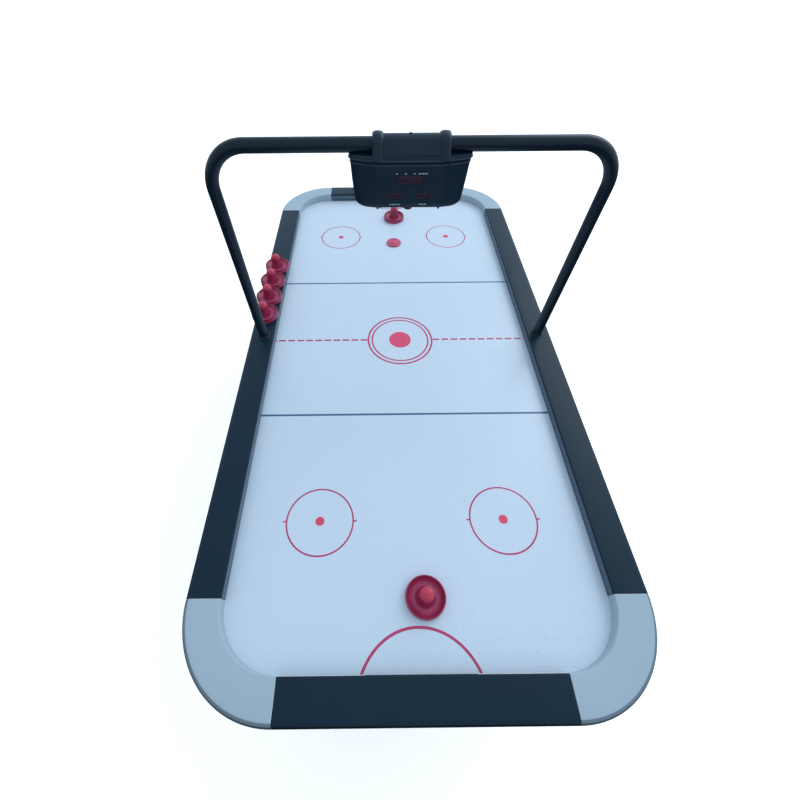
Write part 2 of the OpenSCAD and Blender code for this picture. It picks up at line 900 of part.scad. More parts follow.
module scorer_digits() {
    back_y = board_y + board_t;
    front_y = case_half_d - lens_inset - lens_t - 0.3;
    depth = front_y - back_y;
    color("#2a0c12")
    at_scorer()
    for (s = [-1, 1]) {
        y = s * (back_y + depth / 2);
        translate([0, y, time_z]) cube([time_window[0] - 2, depth, time_window[1] - 2], center = true);
        for (k = [-1, 1])
            translate([k * score_x, y, score_z])
            cube([score_window[0] - 2, depth, score_window[1] - 2], center = true);
    }
}

module scorer_button() {
    color("#7a1524")
    at_scorer()
    translate([button_at[0], button_at[1], case_bottom_z]) {
        translate([0, 0, case_wall + 1])
        rotate([180, 0, 0])
        rotate_extrude() eased_block(button_r, button_drop + case_wall + 1, 4, 0.1);
        translate([0, 0, case_wall + 0.4]) cylinder(r = button_r + button_collar, h = 1.6);
    }
}

// ---------- pushers and puck ----------

// Half of the pusher's outline: flared dish, cone and domed knob, hollow below
module pusher_section() {
    r = pusher_d / 2;
    difference() {
        union() {
            polygon([
                [0, 0], [r, 0], [r - 0.5, 15.6], [r - 5, 15], [34, 7.2], [32, 6.4], [25.5, 6.4],
                [23.5, 7.2], [20, 18], [17.3, 30], [16.6, 38], [knob_r, knob_z], [0, knob_z]
            ]);
            translate([r - 2.7, 15.6]) circle(r = 2.2, $fn = 32);
            intersection() {
                translate([0, knob_z]) circle(r = knob_r);
                translate([0, knob_z - 10]) square([knob_r, knob_r + 10]);
            }
        }
        polygon([[-1, -1], [21, -1], [20.4, 5], [16.8, 18], [14, 30], [13.4, 38], [13.4, 45], [-1, 45]]);
        polygon([[r - 8, -1], [r - 3.4, -1], [r - 3.6, 11], [r - 5.2, 10.5]]);
    }
}

module pusher(at) {
    color("#b01030") translate(at) rotate_extrude($fn = 96) pusher_section();
}

module rail_pusher(i) {
    pusher([rail_pusher_at[i][0], rail_pusher_at[i][1], table_h + rest_gap]);
}

module puck() {
    color("#c02040")
    translate(puck_at)
    rotate_extrude()
    intersection() {
        eased_block(puck_d / 2, puck_t, 1.2, 0.1);
        translate([0, puck_t]) mirror([0, 1]) eased_block(puck_d / 2, puck_t, 1.2, 0.1);
    }
}

// ---------- screws ----------

// Pan head on the plane z = 0 with its shank below
module pan_screw(length) {
    cylinder(r = screw_head_r, h = screw_head_h);
    translate([0, 0, -length]) cylinder(r = screw_r, h = length + eps);
}

module pan_screws() {
    color("silver") {
        for (flip = [false, true])
            if_mirrored(false, flip)
            tray_screw_places()
            translate([0, -ear_t, 0]) rotate([90, 0, 0]) pan_screw(12);
        blower_screw_places()
        translate([0, 0, -blower_flange_t]) rotate([180, 0, 0]) pan_screw(11);
        at_scorer()
        for (s = [-1, 1], z = boss_z)
            translate([s * boss_x, case_half_d, z]) rotate([-90, 0, 0]) pan_screw(18);
    }
}

playfield();
plenum_frame();
plenum_ribs();
plenum_floor();
side_rail(true);  // side_rail_left
side_rail(false);  // side_rail_right
end_rail(true);  // end_rail_near
end_rail(false);  // end_rail_far
corner(true, true);  // corner_near_left
corner(false, true);  // corner_near_right
corner(true, false);  // corner_far_left
corner(false, false);  // corner_far_right
rail_liners();
side_apron_left();
side_apron_right();
end_apron(true);  // end_apron_near
end_apron(false);  // end_apron_far
leg(-1, -1);  // leg_near_left
leg(1, -1);  // leg_near_right
leg(-1, 1);  // leg_far_left
leg(1, 1);  // leg_far_right
leg_stretcher(-1);  // leg_stretcher_near
leg_stretcher(1);  // leg_stretcher_far
leg_inserts();
leg_bolts();
leveler(-1, -1);  // leveler_near_left
leveler(1, -1);  // leveler_near_right
leveler(-1, 1);  // leveler_far_left
leveler(1, 1);  // leveler_far_right
goal_tray(true);  // goal_tray_near
goal_tray(false);  // goal_tray_far
goal_sensors();
blower_housing();
blower_impeller();
blower_motor();
blower_grille();
power_panel();
power_rocker();
power_inlet();
arch_tube(true);  // arch_tube_left
arch_tube(false);  // arch_tube_right
arch_socket(true);  // arch_socket_left
arch_socket(false);  // arch_socket_right
arch_brackets();
arch_joiner();
scorer_top_cover();
scorer_front_shell();
scorer_back_shell();
scorer_windows();
scorer_boards();
scorer_digits();
scorer_button();
pusher(pusher_near_at);  // pusher_near
pusher(pusher_far_at);  // pusher_far
rail_pusher(0);  // pusher_rail_1
rail_pusher(1);  // pusher_rail_2
rail_pusher(2);  // pusher_rail_3
rail_pusher(3);  // pusher_rail_4
puck();
pan_screws();
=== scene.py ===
import math

import bmesh
import bpy
from mathutils import Matrix, Vector
from mathutils.geometry import delaunay_2d_cdt


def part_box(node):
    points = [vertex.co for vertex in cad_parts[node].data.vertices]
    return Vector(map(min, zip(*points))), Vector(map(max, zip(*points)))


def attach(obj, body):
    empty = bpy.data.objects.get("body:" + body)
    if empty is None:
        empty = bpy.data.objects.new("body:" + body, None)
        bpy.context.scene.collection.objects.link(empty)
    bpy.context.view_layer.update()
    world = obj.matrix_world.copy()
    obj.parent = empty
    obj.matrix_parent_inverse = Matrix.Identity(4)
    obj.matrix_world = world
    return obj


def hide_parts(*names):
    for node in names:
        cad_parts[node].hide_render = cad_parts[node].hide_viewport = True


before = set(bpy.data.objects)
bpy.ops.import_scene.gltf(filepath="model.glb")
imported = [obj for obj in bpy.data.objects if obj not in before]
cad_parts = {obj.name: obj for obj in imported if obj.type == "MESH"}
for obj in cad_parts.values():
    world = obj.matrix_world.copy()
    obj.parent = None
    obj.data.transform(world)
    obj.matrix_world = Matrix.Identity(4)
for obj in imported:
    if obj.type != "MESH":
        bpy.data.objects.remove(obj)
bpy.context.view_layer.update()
MM = 0.001

# ---------- places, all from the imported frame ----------

FIELD_LOW, FIELD_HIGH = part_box("playfield")
SIDE_LOW, SIDE_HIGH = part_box("side_rail_right")
END_LOW, END_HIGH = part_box("end_rail_far")
CORNER_LOW, CORNER_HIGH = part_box("corner_far_right")
SLEEVE_LOW, SLEEVE_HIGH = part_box("scorer_top_cover")
CASE_LOW, CASE_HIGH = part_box("scorer_front_shell")
BACK_LOW, BACK_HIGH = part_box("scorer_back_shell")
ARCH_LOW, ARCH_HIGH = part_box("arch_tube_right")
SOCKET_LOW, SOCKET_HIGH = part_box("arch_socket_right")
BUTTON_LOW, BUTTON_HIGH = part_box("scorer_button")
LENS_LOW, LENS_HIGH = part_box("scorer_windows")
TRAY_LOW, TRAY_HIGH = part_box("goal_tray_far")

FIELD_Z = FIELD_HIGH.z
RAIL_TOP = SIDE_HIGH.z
RAIL_H = RAIL_TOP - FIELD_Z
IN_X, OUT_X = SIDE_LOW.x, SIDE_HIGH.x
IN_Y, OUT_Y = END_LOW.y, END_HIGH.y
RAIL_W = OUT_X - IN_X
SIDE_END = SIDE_HIGH.y
END_END = END_HIGH.x
CORNER_X, CORNER_Y = CORNER_LOW.x, CORNER_LOW.y
CORNER_IN_R = IN_X - CORNER_X
APRON_Z = CORNER_LOW.z
APRON_H = FIELD_Z - APRON_Z
TUBE_R = (ARCH_HIGH.y - ARCH_LOW.y) / 2
BAR_Z = ARCH_HIGH.z - TUBE_R
PAST = 10 * MM
CLEAR = 200 * MM

# ---------- colours (linear) ----------

FIELD_WHITE = (0.643, 0.700, 0.786)
PRINT_RED = (0.520, 0.045, 0.135)
PRINT_SPOT = (0.780, 0.058, 0.140)
PRINT_BLUE = (0.038, 0.125, 0.240)
RAIL_DARK = (0.0026, 0.0175, 0.0335)
# Painted shade: a darker copy of the rail colour for the rails' outer wall and lower outer roundover.
RAIL_SIDE_PAINTED_SHADE = (0.0016, 0.0060, 0.0120)
CORNER_GREY = (0.384, 0.456, 0.510)
# Painted shade: darker copies of the corner grey for the corners' outer roundover (edge) and outer side and
# skirt (side).
CORNER_EDGE_PAINTED_SHADE = (0.170, 0.215, 0.250)
CORNER_SIDE_PAINTED_SHADE = (0.062, 0.090, 0.116)
# Painted highlight: a lighter copy of the corner grey on the corners' eased top edge at both seams.
CORNER_LIP_PAINTED_HIGHLIGHT = (0.620, 0.700, 0.740)
LINER_GREY = (0.100, 0.150, 0.205)
ARCH_DARK = (0.004, 0.0145, 0.0265)
CASE_DARK = (0.006, 0.019, 0.038)
# Painted highlight: a lighter copy of the case colour on the case's rim bead and the cover flange's lower
# edge.
CASE_EDGE_PAINTED_HIGHLIGHT = (0.030, 0.050, 0.080)
BLACK_PLASTIC = (0.006, 0.010, 0.014)
CRIMSON = (0.310, 0.015, 0.060)
# Painted light on the pushers, as colour multipliers: a painted warm light on the knob top and a painted
# purple sheen on the dish floor.
PAINTED_KNOB_TOP_LIGHT = (1.75, 1.80, 1.12)
PAINTED_DISH_SHEEN = (1.30, 2.60, 1.75)
PUCK_RED = (0.570, 0.046, 0.125)
LENS_RED = (0.032, 0.010, 0.028)
DIGIT_RED = (0.070, 0.012, 0.026)
MARK_WHITE = (0.420, 0.460, 0.520)
BUTTON_RED = (0.090, 0.008, 0.020)
STEEL = (0.420, 0.430, 0.450)
DARK_STEEL = (0.090, 0.092, 0.096)
BOARD_BROWN = (0.290, 0.180, 0.095)
FELT_BLACK = (0.015, 0.015, 0.016)
FLOOR_PALE = (0.92, 0.88, 0.87)


# ---------- materials ----------

def link_noise(tree, coords, scale, detail, stretch=(1, 1, 1)):
    """A noise texture over the piece's own coordinates, stretched along its axes."""
    nodes, links = tree.nodes, tree.links
    mapping = nodes.new("ShaderNodeMapping")
    mapping.inputs["Scale"].default_value = stretch
    noise = nodes.new("ShaderNodeTexNoise")
    noise.inputs["Scale"].default_value = scale
    noise.inputs["Detail"].default_value = detail
    links.new(coords, mapping.inputs["Vector"])
    links.new(mapping.outputs["Vector"], noise.inputs["Vector"])
    return noise.outputs["Fac"]


def link_range(tree, value, low, high, from_low=0.3, from_high=0.7):
    """Maps a noise value on to low..high."""
    node = tree.nodes.new("ShaderNodeMapRange")
    node.inputs["From Min"].default_value = from_low
    node.inputs["From Max"].default_value = from_high
    node.inputs["To Min"].default_value = low
    node.inputs["To Max"].default_value = high
    tree.links.new(value, node.inputs["Value"])
    return node.outputs["Result"]


def surface(name, color, roughness, metallic=0.0, specular=0.5, mottle=0.05, mottle_scale=14.0,
            grain_scale=900.0, relief=0.05, stretch=(1, 1, 1), scuff=0.06, sheen=0.0):
    """A procedural surface: mottled colour, uneven gloss and a fine relief."""
    material = bpy.data.materials.new(name)
    material.use_nodes = True
    tree = material.node_tree
    shader = tree.nodes["Principled BSDF"]
    coords = tree.nodes.new("ShaderNodeTexCoord").outputs["Object"]
    broad = link_noise(tree, coords, mottle_scale, 4.0, stretch)
    fine = link_noise(tree, coords, grain_scale, 2.0, stretch)
    mix = tree.nodes.new("ShaderNodeMix")
    mix.data_type = "RGBA"
    mix.inputs["A"].default_value = (*[c * (1 - mottle) for c in color], 1)
    mix.inputs["B"].default_value = (*[c * (1 + mottle) for c in color], 1)
    tree.links.new(link_range(tree, broad, 0.0, 1.0), mix.inputs["Factor"])
    tree.links.new(mix.outputs["Result"], shader.inputs["Base Color"])
    rough = link_range(tree, fine, roughness - scuff / 2, roughness + scuff / 2)
    tree.links.new(rough, shader.inputs["Roughness"])
    bump = tree.nodes.new("ShaderNodeBump")
    bump.inputs["Strength"].default_value = 0.35
    bump.inputs["Distance"].default_value = relief * MM
    tree.links.new(fine, bump.inputs["Height"])
    tree.links.new(bump.outputs["Normal"], shader.inputs["Normal"])
    shader.inputs["Metallic"].default_value = metallic
    shader.inputs["Specular IOR Level"].default_value = specular
    shader.inputs["Sheen Weight"].default_value = sheen
    return material


def paint_light_by_height(material, stops):
    """Paints light into a material's colour: multiplies it by a ramp from the bottom of its piece (0) to
    the top (1).
    """
    tree = material.node_tree
    color = tree.nodes["Principled BSDF"].inputs["Base Color"]
    parts = tree.nodes.new("ShaderNodeSeparateXYZ")
    tree.links.new(tree.nodes.new("ShaderNodeTexCoord").outputs["Generated"], parts.inputs["Vector"])
    ramp = tree.nodes.new("ShaderNodeValToRGB")
    elements = ramp.color_ramp.elements
    elements.remove(elements[1])
    for k, (height, tint) in enumerate(stops):
        stop = elements.new(height) if k else elements[0]
        stop.position, stop.color = height, (*tint, 1)
    tree.links.new(parts.outputs["Z"], ramp.inputs["Fac"])
    mix = tree.nodes.new("ShaderNodeMix")
    mix.data_type = "RGBA"
    mix.blend_type = "MULTIPLY"
    mix.inputs["Factor"].default_value = 1
    tree.links.new(color.links[0].from_socket, mix.inputs["A"])
    tree.links.new(ramp.outputs["Color"], mix.inputs["B"])
    tree.links.new(mix.outputs["Result"], color)


LOOKS = {
    "field": surface("field_laminate", FIELD_WHITE, 0.32, mottle=0.012, mottle_scale=2.2,
        grain_scale=420, relief=0.015, scuff=0.10),
    "print_red": surface("print_red", PRINT_RED, 0.34, mottle=0.08, mottle_scale=60, grain_scale=500,
        relief=0.01),
    "print_spot": surface("print_spot", PRINT_SPOT, 0.34, mottle=0.08, mottle_scale=60, grain_scale=500,
        relief=0.01),
    "print_blue": surface("print_blue", PRINT_BLUE, 0.34, mottle=0.10, mottle_scale=60, grain_scale=500,
        relief=0.01),
    "air_hole": surface("air_hole", (0.40, 0.46, 0.54), 0.7, mottle=0.2, mottle_scale=200),
    "board": surface("bare_board", BOARD_BROWN, 0.85, mottle=0.22, mottle_scale=60, grain_scale=700,
        relief=0.30, stretch=(1, 0.25, 1)),
    "rail": surface("rail_laminate", RAIL_DARK, 0.42, specular=0.22, mottle=0.10, mottle_scale=6,
        grain_scale=1400, relief=0.045, scuff=0.10),
    # painted shade: the rails' outer wall and lower outer roundover
    "rail_side": surface("rail_laminate_painted_shade", RAIL_SIDE_PAINTED_SHADE, 0.46, specular=0.20, mottle=0.12,
        mottle_scale=6, grain_scale=1400, relief=0.045, scuff=0.10),
    "apron": surface("apron_laminate", RAIL_DARK, 0.46, specular=0.28, mottle=0.12, mottle_scale=8,
        grain_scale=1200, scuff=0.10),
    "leg": surface("leg_laminate", (0.006, 0.009, 0.013), 0.50, specular=0.35, mottle=0.15,
        mottle_scale=10, grain_scale=1200, relief=0.06, scuff=0.10),
    "corner": surface("corner_plastic", CORNER_GREY, 0.48, specular=0.40, mottle=0.022, mottle_scale=5,
        grain_scale=1600, scuff=0.08),
    # painted shade: the corners' outer roundover and outer side and skirt
    "corner_edge": surface("corner_plastic_edge_painted_shade", CORNER_EDGE_PAINTED_SHADE, 0.50, specular=0.35, mottle_scale=8,
        grain_scale=1600, scuff=0.08),
    "corner_side": surface("corner_plastic_side_painted_shade", CORNER_SIDE_PAINTED_SHADE, 0.52, specular=0.25, mottle=0.06,
        mottle_scale=8, grain_scale=1600, scuff=0.08),
    # painted highlight: the corners' eased top edge at the seams
    "corner_lip": surface("corner_plastic_lip_painted_highlight", CORNER_LIP_PAINTED_HIGHLIGHT, 0.45, specular=0.40, mottle=0.08,
        mottle_scale=40, grain_scale=1600, relief=0.03, scuff=0.08),
    "liner": surface("liner_metal", LINER_GREY, 0.38, metallic=0.55, mottle=0.08, mottle_scale=20,
        grain_scale=600, relief=0.02, stretch=(1, 0.02, 1), scuff=0.14),
    "arch": surface("arch_paint", ARCH_DARK, 0.36, specular=0.29, mottle=0.10, mottle_scale=20,
        grain_scale=1500, scuff=0.10),
    "case": surface("case_plastic", CASE_DARK, 0.40, specular=0.34, mottle=0.08, mottle_scale=25,
        grain_scale=2200, scuff=0.10),
    # painted highlight: the case's rim bead and the cover flange's lower edge
    "case_edge": surface("case_plastic_edge_painted_highlight", CASE_EDGE_PAINTED_HIGHLIGHT, 0.42, specular=0.40, mottle=0.30,
        mottle_scale=90, grain_scale=1800, scuff=0.12),
    "black": surface("black_plastic", BLACK_PLASTIC, 0.5, specular=0.4, mottle=0.12, mottle_scale=40,
        grain_scale=1800, relief=0.06),
    "lens": surface("window_plastic", LENS_RED, 0.38, specular=0.35, mottle=0.06, mottle_scale=60,
        relief=0.004),
    "digit": surface("display_plastic", DIGIT_RED, 0.30, mottle=0.10, mottle_scale=120, relief=0.004),
    "mark": surface("mark_print", MARK_WHITE, 0.5, mottle=0.08, mottle_scale=300, relief=0.01),
    "button": surface("red_button_plastic", BUTTON_RED, 0.25, mottle=0.06, mottle_scale=80),
    "pusher": surface("pusher_red", CRIMSON, 0.30, specular=0.45, mottle=0.07, mottle_scale=35,
        grain_scale=1500, relief=0.03, scuff=0.10),
    "puck": surface("puck_red", PUCK_RED, 0.34, mottle=0.07, mottle_scale=35, grain_scale=1200,
        relief=0.03, scuff=0.12),
    "felt": surface("pusher_felt", FELT_BLACK, 0.95, mottle=0.25, mottle_scale=500, grain_scale=2500,
        relief=0.25, sheen=0.4),
    "zinc": surface("zinc_steel", STEEL, 0.34, metallic=1.0, mottle=0.10, mottle_scale=80, relief=0.02,
        scuff=0.14),
    "dark_steel": surface("leveler_steel", DARK_STEEL, 0.42, metallic=0.9, mottle=0.12, mottle_scale=60,
        relief=0.03, scuff=0.14),
    "wheel": surface("wheel_plastic", (0.09, 0.09, 0.10), 0.5, mottle=0.08, mottle_scale=50),
    "circuit": surface("board_green", (0.012, 0.070, 0.028), 0.35, mottle=0.20, mottle_scale=120),
    "floor": surface("studio_floor", FLOOR_PALE, 0.75, specular=0.2, mottle=0.01, mottle_scale=1.2,
        grain_scale=200, relief=0.02),
}
# Painted light on the pushers: painted sheen on the dish floor, plain colour on the sides, painted light on
# the knob top.
paint_light_by_height(LOOKS["pusher"], [(0, PAINTED_DISH_SHEEN), (0.13, PAINTED_DISH_SHEEN), (0.22, (1, 1, 1)),
                                 (0.60, (1, 1, 1)), (0.97, PAINTED_KNOB_TOP_LIGHT)])


# ---------- mesh helpers ----------

def put(name, data):
    """A new object in the scene."""
    thing = bpy.data.objects.new(name, data)
    bpy.context.scene.collection.objects.link(thing)
    return thing


def add_piece(name, vertices, faces, body, looks, slot=None, stands_for=(), sharp=32.0, picks=None):
    """A mesh piece riding on a body. picks holds a look index for each face."""
    mesh = bpy.data.meshes.new(name)
    mesh.from_pydata([tuple(v) for v in vertices], [], faces)
    for look in looks:
        mesh.materials.append(LOOKS[look])
    if picks:
        mesh.polygons.foreach_set("material_index", picks)
    piece = put(name, mesh)
    tidy(mesh, sharp)
    if body:
        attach(piece, body)
    if stands_for:
        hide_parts(*stands_for)
    return piece


def stand_in(node, shape, body, looks, slot, **more):
    """A piece that takes the place of a CAD node. shape is its (points, faces)."""
    return add_piece(node + "_shape", *shape, body, looks, slot=slot, stands_for=(node,), **more)


def tidy(mesh, sharp):
    """Faces point outwards and shade smoothly, except over edges sharper than the angle."""
    bm = bmesh.new()
    bm.from_mesh(mesh)
    bmesh.ops.recalc_face_normals(bm, faces=bm.faces)
    bm.to_mesh(mesh)
    bm.free()
    mesh.shade_smooth()
    mesh.set_sharp_from_angle(angle=math.radians(sharp))


def bevel(piece, width, segments=2, angle=35.0):
    """Rounds the sharp edges of a piece."""
    rounding = piece.modifiers.new("bevel", "BEVEL")
    rounding.width = width
    rounding.segments = segments
    rounding.limit_method = "ANGLE"
    rounding.angle_limit = math.radians(angle)
    rounding.harden_normals = True


def apply_modifiers(piece):
    """Makes the modified shape the piece's own mesh."""
    graph = bpy.context.evaluated_depsgraph_get()
    mesh = bpy.data.meshes.new_from_object(piece.evaluated_get(graph), depsgraph=graph)
    piece.modifiers.clear()
    piece.data = mesh


def cut(piece, *cutters):
    """Takes the cutters' shapes out of a piece and removes the cutters."""
    for other in cutters:
        boolean = piece.modifiers.new("cut", "BOOLEAN")
        boolean.operation = "DIFFERENCE"
        boolean.solver = "EXACT"
        boolean.object = other
    apply_modifiers(piece)
    for other in cutters:
        bpy.data.objects.remove(other)
    tidy(piece.data, 32.0)


def block(low, high):
    """Corner points and faces of a box."""
    points = [Vector((x, y, z)) for x in (low[0], high[0]) for y in (low[1], high[1])
              for z in (low[2], high[2])]
    faces = [(0, 1, 3, 2), (4, 6, 7, 5), (0, 4, 5, 1), (2, 3, 7, 6), (0, 2, 6, 4), (1, 5, 7, 3)]
    return points, faces


def cutter(shape):
    """An unseen piece for cut()."""
    return add_piece("cutter", *shape, None, ("black",))


def gather(shells):
    """Several (points, faces) shells as one."""
    points, faces = [], []
    for some, joins in shells:
        faces += [tuple(i + len(points) for i in face) for face in joins]
        points += some
    return points, faces


def loft(rings, loop=False):
    """Joins rings of equally many points into a closed skin, with ends or as a loop."""
    count = len(rings[0])
    points = [p for ring in rings for p in ring]
    faces = []
    for k in range(len(rings) if loop else len(rings) - 1):
        a, b = k * count, (k + 1) % len(rings) * count
        for i in range(count):
            j = (i + 1) % count
            faces.append((a + i, a + j, b + j, b + i))
    if not loop:
        faces.append(tuple(range(count)))
        faces.append(tuple(len(points) - count + i for i in range(count)))
    return points, faces


def arc(cx, cy, radius, start, end, steps):
    """Points of a flat arc, angles in degrees, both ends included."""
    angles = [math.radians(start + (end - start) * i / steps) for i in range(steps + 1)]
    return [(cx + radius * math.cos(a), cy + radius * math.sin(a)) for a in angles]


def spin(profile, at, steps=96, axis="Z"):
    """Turns (radius, height) points about the Z or X axis through at. Points on it close the shape."""
    points, faces, rings = [], [], []
    for radius, height in profile:
        if radius < 1e-9:
            rings.append([len(points)])
            points.append(Vector((0, 0, height)))
            continue
        rings.append(list(range(len(points), len(points) + steps)))
        for k in range(steps):
            a = 2 * math.pi * k / steps
            points.append(Vector((radius * math.cos(a), radius * math.sin(a), height)))
    for low, high in zip(rings, rings[1:]):
        for k in range(steps):
            j = (k + 1) % steps
            if len(low) == 1:
                faces.append((low[0], high[k], high[j]))
            elif len(high) == 1:
                faces.append((low[k], low[j], high[0]))
            else:
                faces.append((low[k], low[j], high[j], high[k]))
    turn = Matrix.Rotation(math.pi / 2, 3, "Y") if axis == "X" else Matrix.Identity(3)
    return [turn @ p + Vector(at) for p in points], faces


def rod(radius, low, high, at, steps, axis="Z"):
    """A plain cylinder along an axis, between two heights over at."""
    return spin([(0, low), (radius, low), (radius, high), (0, high)], at, steps, axis)


def base_of(low, high):
    """The middle of the bottom of a box."""
    return (low.x + high.x) / 2, (low.y + high.y) / 2, low.z


def mirror_points(points, flip_x, flip_y):
    return [Vector((-p[0] if flip_x else p[0], -p[1] if flip_y else p[1], p[2])) for p in points]


# ---------- playing surface ----------

HOLE_PITCH = 25.4 * MM
HOLE_R = 0.65 * MM
HOLE_DEPTH = 5 * MM
HOLE_SIDES = 8
HOLE_COLUMNS = 17
FIRST_ROW_Y = -971 * MM
LAST_ROW_Y = 973 * MM

CENTRE_DOT_R = 39 * MM
CENTRE_RINGS = ((117.4 * MM, 111.0 * MM), (103.0 * MM, 97.4 * MM))
FACEOFF_AT = (240.8 * MM, 653.9 * MM)
FACEOFF_R = 87.3 * MM
FACEOFF_DOT_R = 12 * MM
FACEOFF_TICK = 7 * MM
THIN_LINE = 4.4 * MM
BLUE_LINE_Y = 321.4 * MM
BLUE_LINE = 7 * MM
DASH_PITCH = 32.7 * MM
DASH = 24.6 * MM
DASH_WIDTH = 7.6 * MM
GOAL_ARC_R = 138.5 * MM
GOAL_ARC_Y = 1034.2 * MM
GOAL_ARC_LINE = 6.4 * MM
BOARD_LOOKS = ("field", "print_red", "print_spot", "print_blue", "air_hole")


def circle(cx, cy, radius, steps):
    return arc(cx, cy, radius, 0, 360 - 360 / steps, steps - 1)


def rectangle(x0, y0, x1, y1):
    return [(x0, y0), (x1, y0), (x1, y1), (x0, y1)]


def goal_arc(side):
    """The band of a goal crease that lies on the playing surface."""
    wall = IN_Y - 1 * MM
    bands = []
    for radius in (GOAL_ARC_R + GOAL_ARC_LINE / 2, GOAL_ARC_R - GOAL_ARC_LINE / 2):
        reach = math.degrees(math.asin((GOAL_ARC_Y - wall) / radius))
        bands.append(arc(0, 0, radius, reach, 180 - reach, 72))
    outline = bands[0] + bands[1][::-1]
    return [(x, side * (GOAL_ARC_Y - y)) for x, y in outline]


def printed_shapes():
    """Each print as (look, outer outline, inner outline or None)."""
    shapes = [("print_spot", circle(0, 0, CENTRE_DOT_R, 96), None)]
    for outer, inner in CENTRE_RINGS:
        shapes.append(("print_red", circle(0, 0, outer, 128), circle(0, 0, inner, 128)))
    for sx in (-1, 1):
        for sy in (-1, 1):
            x, y = sx * FACEOFF_AT[0], sy * FACEOFF_AT[1]
            outer, inner = FACEOFF_R + THIN_LINE / 2, FACEOFF_R - THIN_LINE / 2
            shapes.append(("print_red", circle(x, y, outer, 112), circle(x, y, inner, 112)))
            shapes.append(("print_spot", circle(x, y, FACEOFF_DOT_R, 48), None))
            for side in (-1, 1):
                near, far = sorted((x + side * outer, x + side * (outer + FACEOFF_TICK)))
                tick = rectangle(near, y - THIN_LINE / 2, far, y + THIN_LINE / 2)
                shapes.append(("print_red", tick, None))
        start = CENTRE_RINGS[0][0] + 0.5 * MM
        while start < IN_X - 2 * MM:
            a, b = sorted((sx * start, sx * min(start + DASH, IN_X - 1 * MM)))
            shapes.append(("print_red", rectangle(a, -DASH_WIDTH / 2, b, DASH_WIDTH / 2), None))
            start += DASH_PITCH
    for side in (-1, 1):
        line = rectangle(-IN_X, side * BLUE_LINE_Y - BLUE_LINE / 2,
                         IN_X, side * BLUE_LINE_Y + BLUE_LINE / 2)
        shapes.append(("print_blue", line, None))
        shapes.append(("print_red", goal_arc(side), None))
    return shapes


def flat_regions(outline, shapes, holes):
    """Triangles of a flat panel, each with the look it is printed in, and the holes' own rims."""
    points, loops, meaning = [], [], []

    def add_loop(loop, what):
        turning = sum(a[0] * b[1] - b[0] * a[1] for a, b in zip(loop, loop[1:] + loop[:1]))
        loop = loop if turning > 0 else loop[::-1]
        loops.append(list(range(len(points), len(points) + len(loop))))
        points.extend(Vector(p) for p in loop)
        meaning.append(what)

    add_loop(outline, ("panel", None))
    for key, (look, outer, inner) in enumerate(shapes):
        add_loop(outer, ("in", key))
        if inner:
            add_loop(inner, ("out", key))
    for hole in holes:
        add_loop(hole, ("hole", None))
    found = delaunay_2d_cdt(points, [], loops, 0, 1e-7)
    faces, looks = [], []
    for face, sources in zip(found[2], found[5]):
        what = [meaning[s] for s in sources]
        if not what or any(w[0] == "hole" for w in what):
            continue
        inside = {w[1] for w in what if w[0] == "in"} - {w[1] for w in what if w[0] == "out"}
        faces.append(tuple(face))
        looks.append(shapes[max(inside)][0] if inside else None)
    return found[0], faces, looks


def make_playfield():
    """The board with its grid of blind air holes and the prints as areas of its top."""
    low, high = FIELD_LOW, FIELD_HIGH
    holes = []
    rows = int(round((LAST_ROW_Y - FIRST_ROW_Y) / HOLE_PITCH))
    for row in range(rows + 1):
        for column in range(-HOLE_COLUMNS, HOLE_COLUMNS + 1):
            y = FIRST_ROW_Y + row * HOLE_PITCH
            if abs(y) < IN_Y - 6 * MM and not in_cut_corner(column * HOLE_PITCH, y):
                holes.append(circle(column * HOLE_PITCH, y, HOLE_R, HOLE_SIDES))
    outline = rectangle(low.x, low.y, high.x, high.y)
    flat, faces, looks = flat_regions(outline, printed_shapes(), holes)
    bm = bmesh.new()
    top = [bm.verts.new((p.x, p.y, FIELD_Z)) for p in flat]
    for face, look in zip(faces, looks):
        made = bm.faces.new([top[i] for i in face])
        made.material_index = BOARD_LOOKS.index(look or "field")
    bmesh.ops.delete(bm, geom=[v for v in bm.verts if not v.link_faces], context="VERTS")
    rims = [e for e in bm.edges if e.is_boundary]
    edge_of_board = [e for e in rims if all(on_outline(v.co, low, high) for v in e.verts)]
    hole_rims = [e for e in rims if e not in set(edge_of_board)]
    extrude_down(bm, hole_rims, HOLE_DEPTH, BOARD_LOOKS.index("air_hole"))
    extrude_down(bm, edge_of_board, high.z - low.z, 0)
    return finish_board(bm)


def in_cut_corner(x, y):
    """Whether a place lies under one of the rounded corners."""
    dx, dy = abs(x) - CORNER_X, abs(y) - CORNER_Y
    return dx > 0 and dy > 0 and math.hypot(dx, dy) > CORNER_IN_R - 6 * MM


def on_outline(point, low, high):
    near = 1e-6
    return (abs(point.x - low.x) < near or abs(point.x - high.x) < near
            or abs(point.y - low.y) < near or abs(point.y - high.y) < near)


def extrude_down(bm, edges, depth, look):
    """Walls below open edges, closed at the bottom by flat faces."""
    made = bmesh.ops.extrude_edge_only(bm, edges=edges)["geom"]
    verts = [g for g in made if isinstance(g, bmesh.types.BMVert)]
    bottom = [g for g in made if isinstance(g, bmesh.types.BMEdge) and g.is_boundary]
    for vert in verts:
        vert.co.z -= depth
    for face in [g for g in made if isinstance(g, bmesh.types.BMFace)]:
        face.material_index = look
    for face in bmesh.ops.holes_fill(bm, edges=bottom, sides=0)["faces"]:
        face.material_index = look


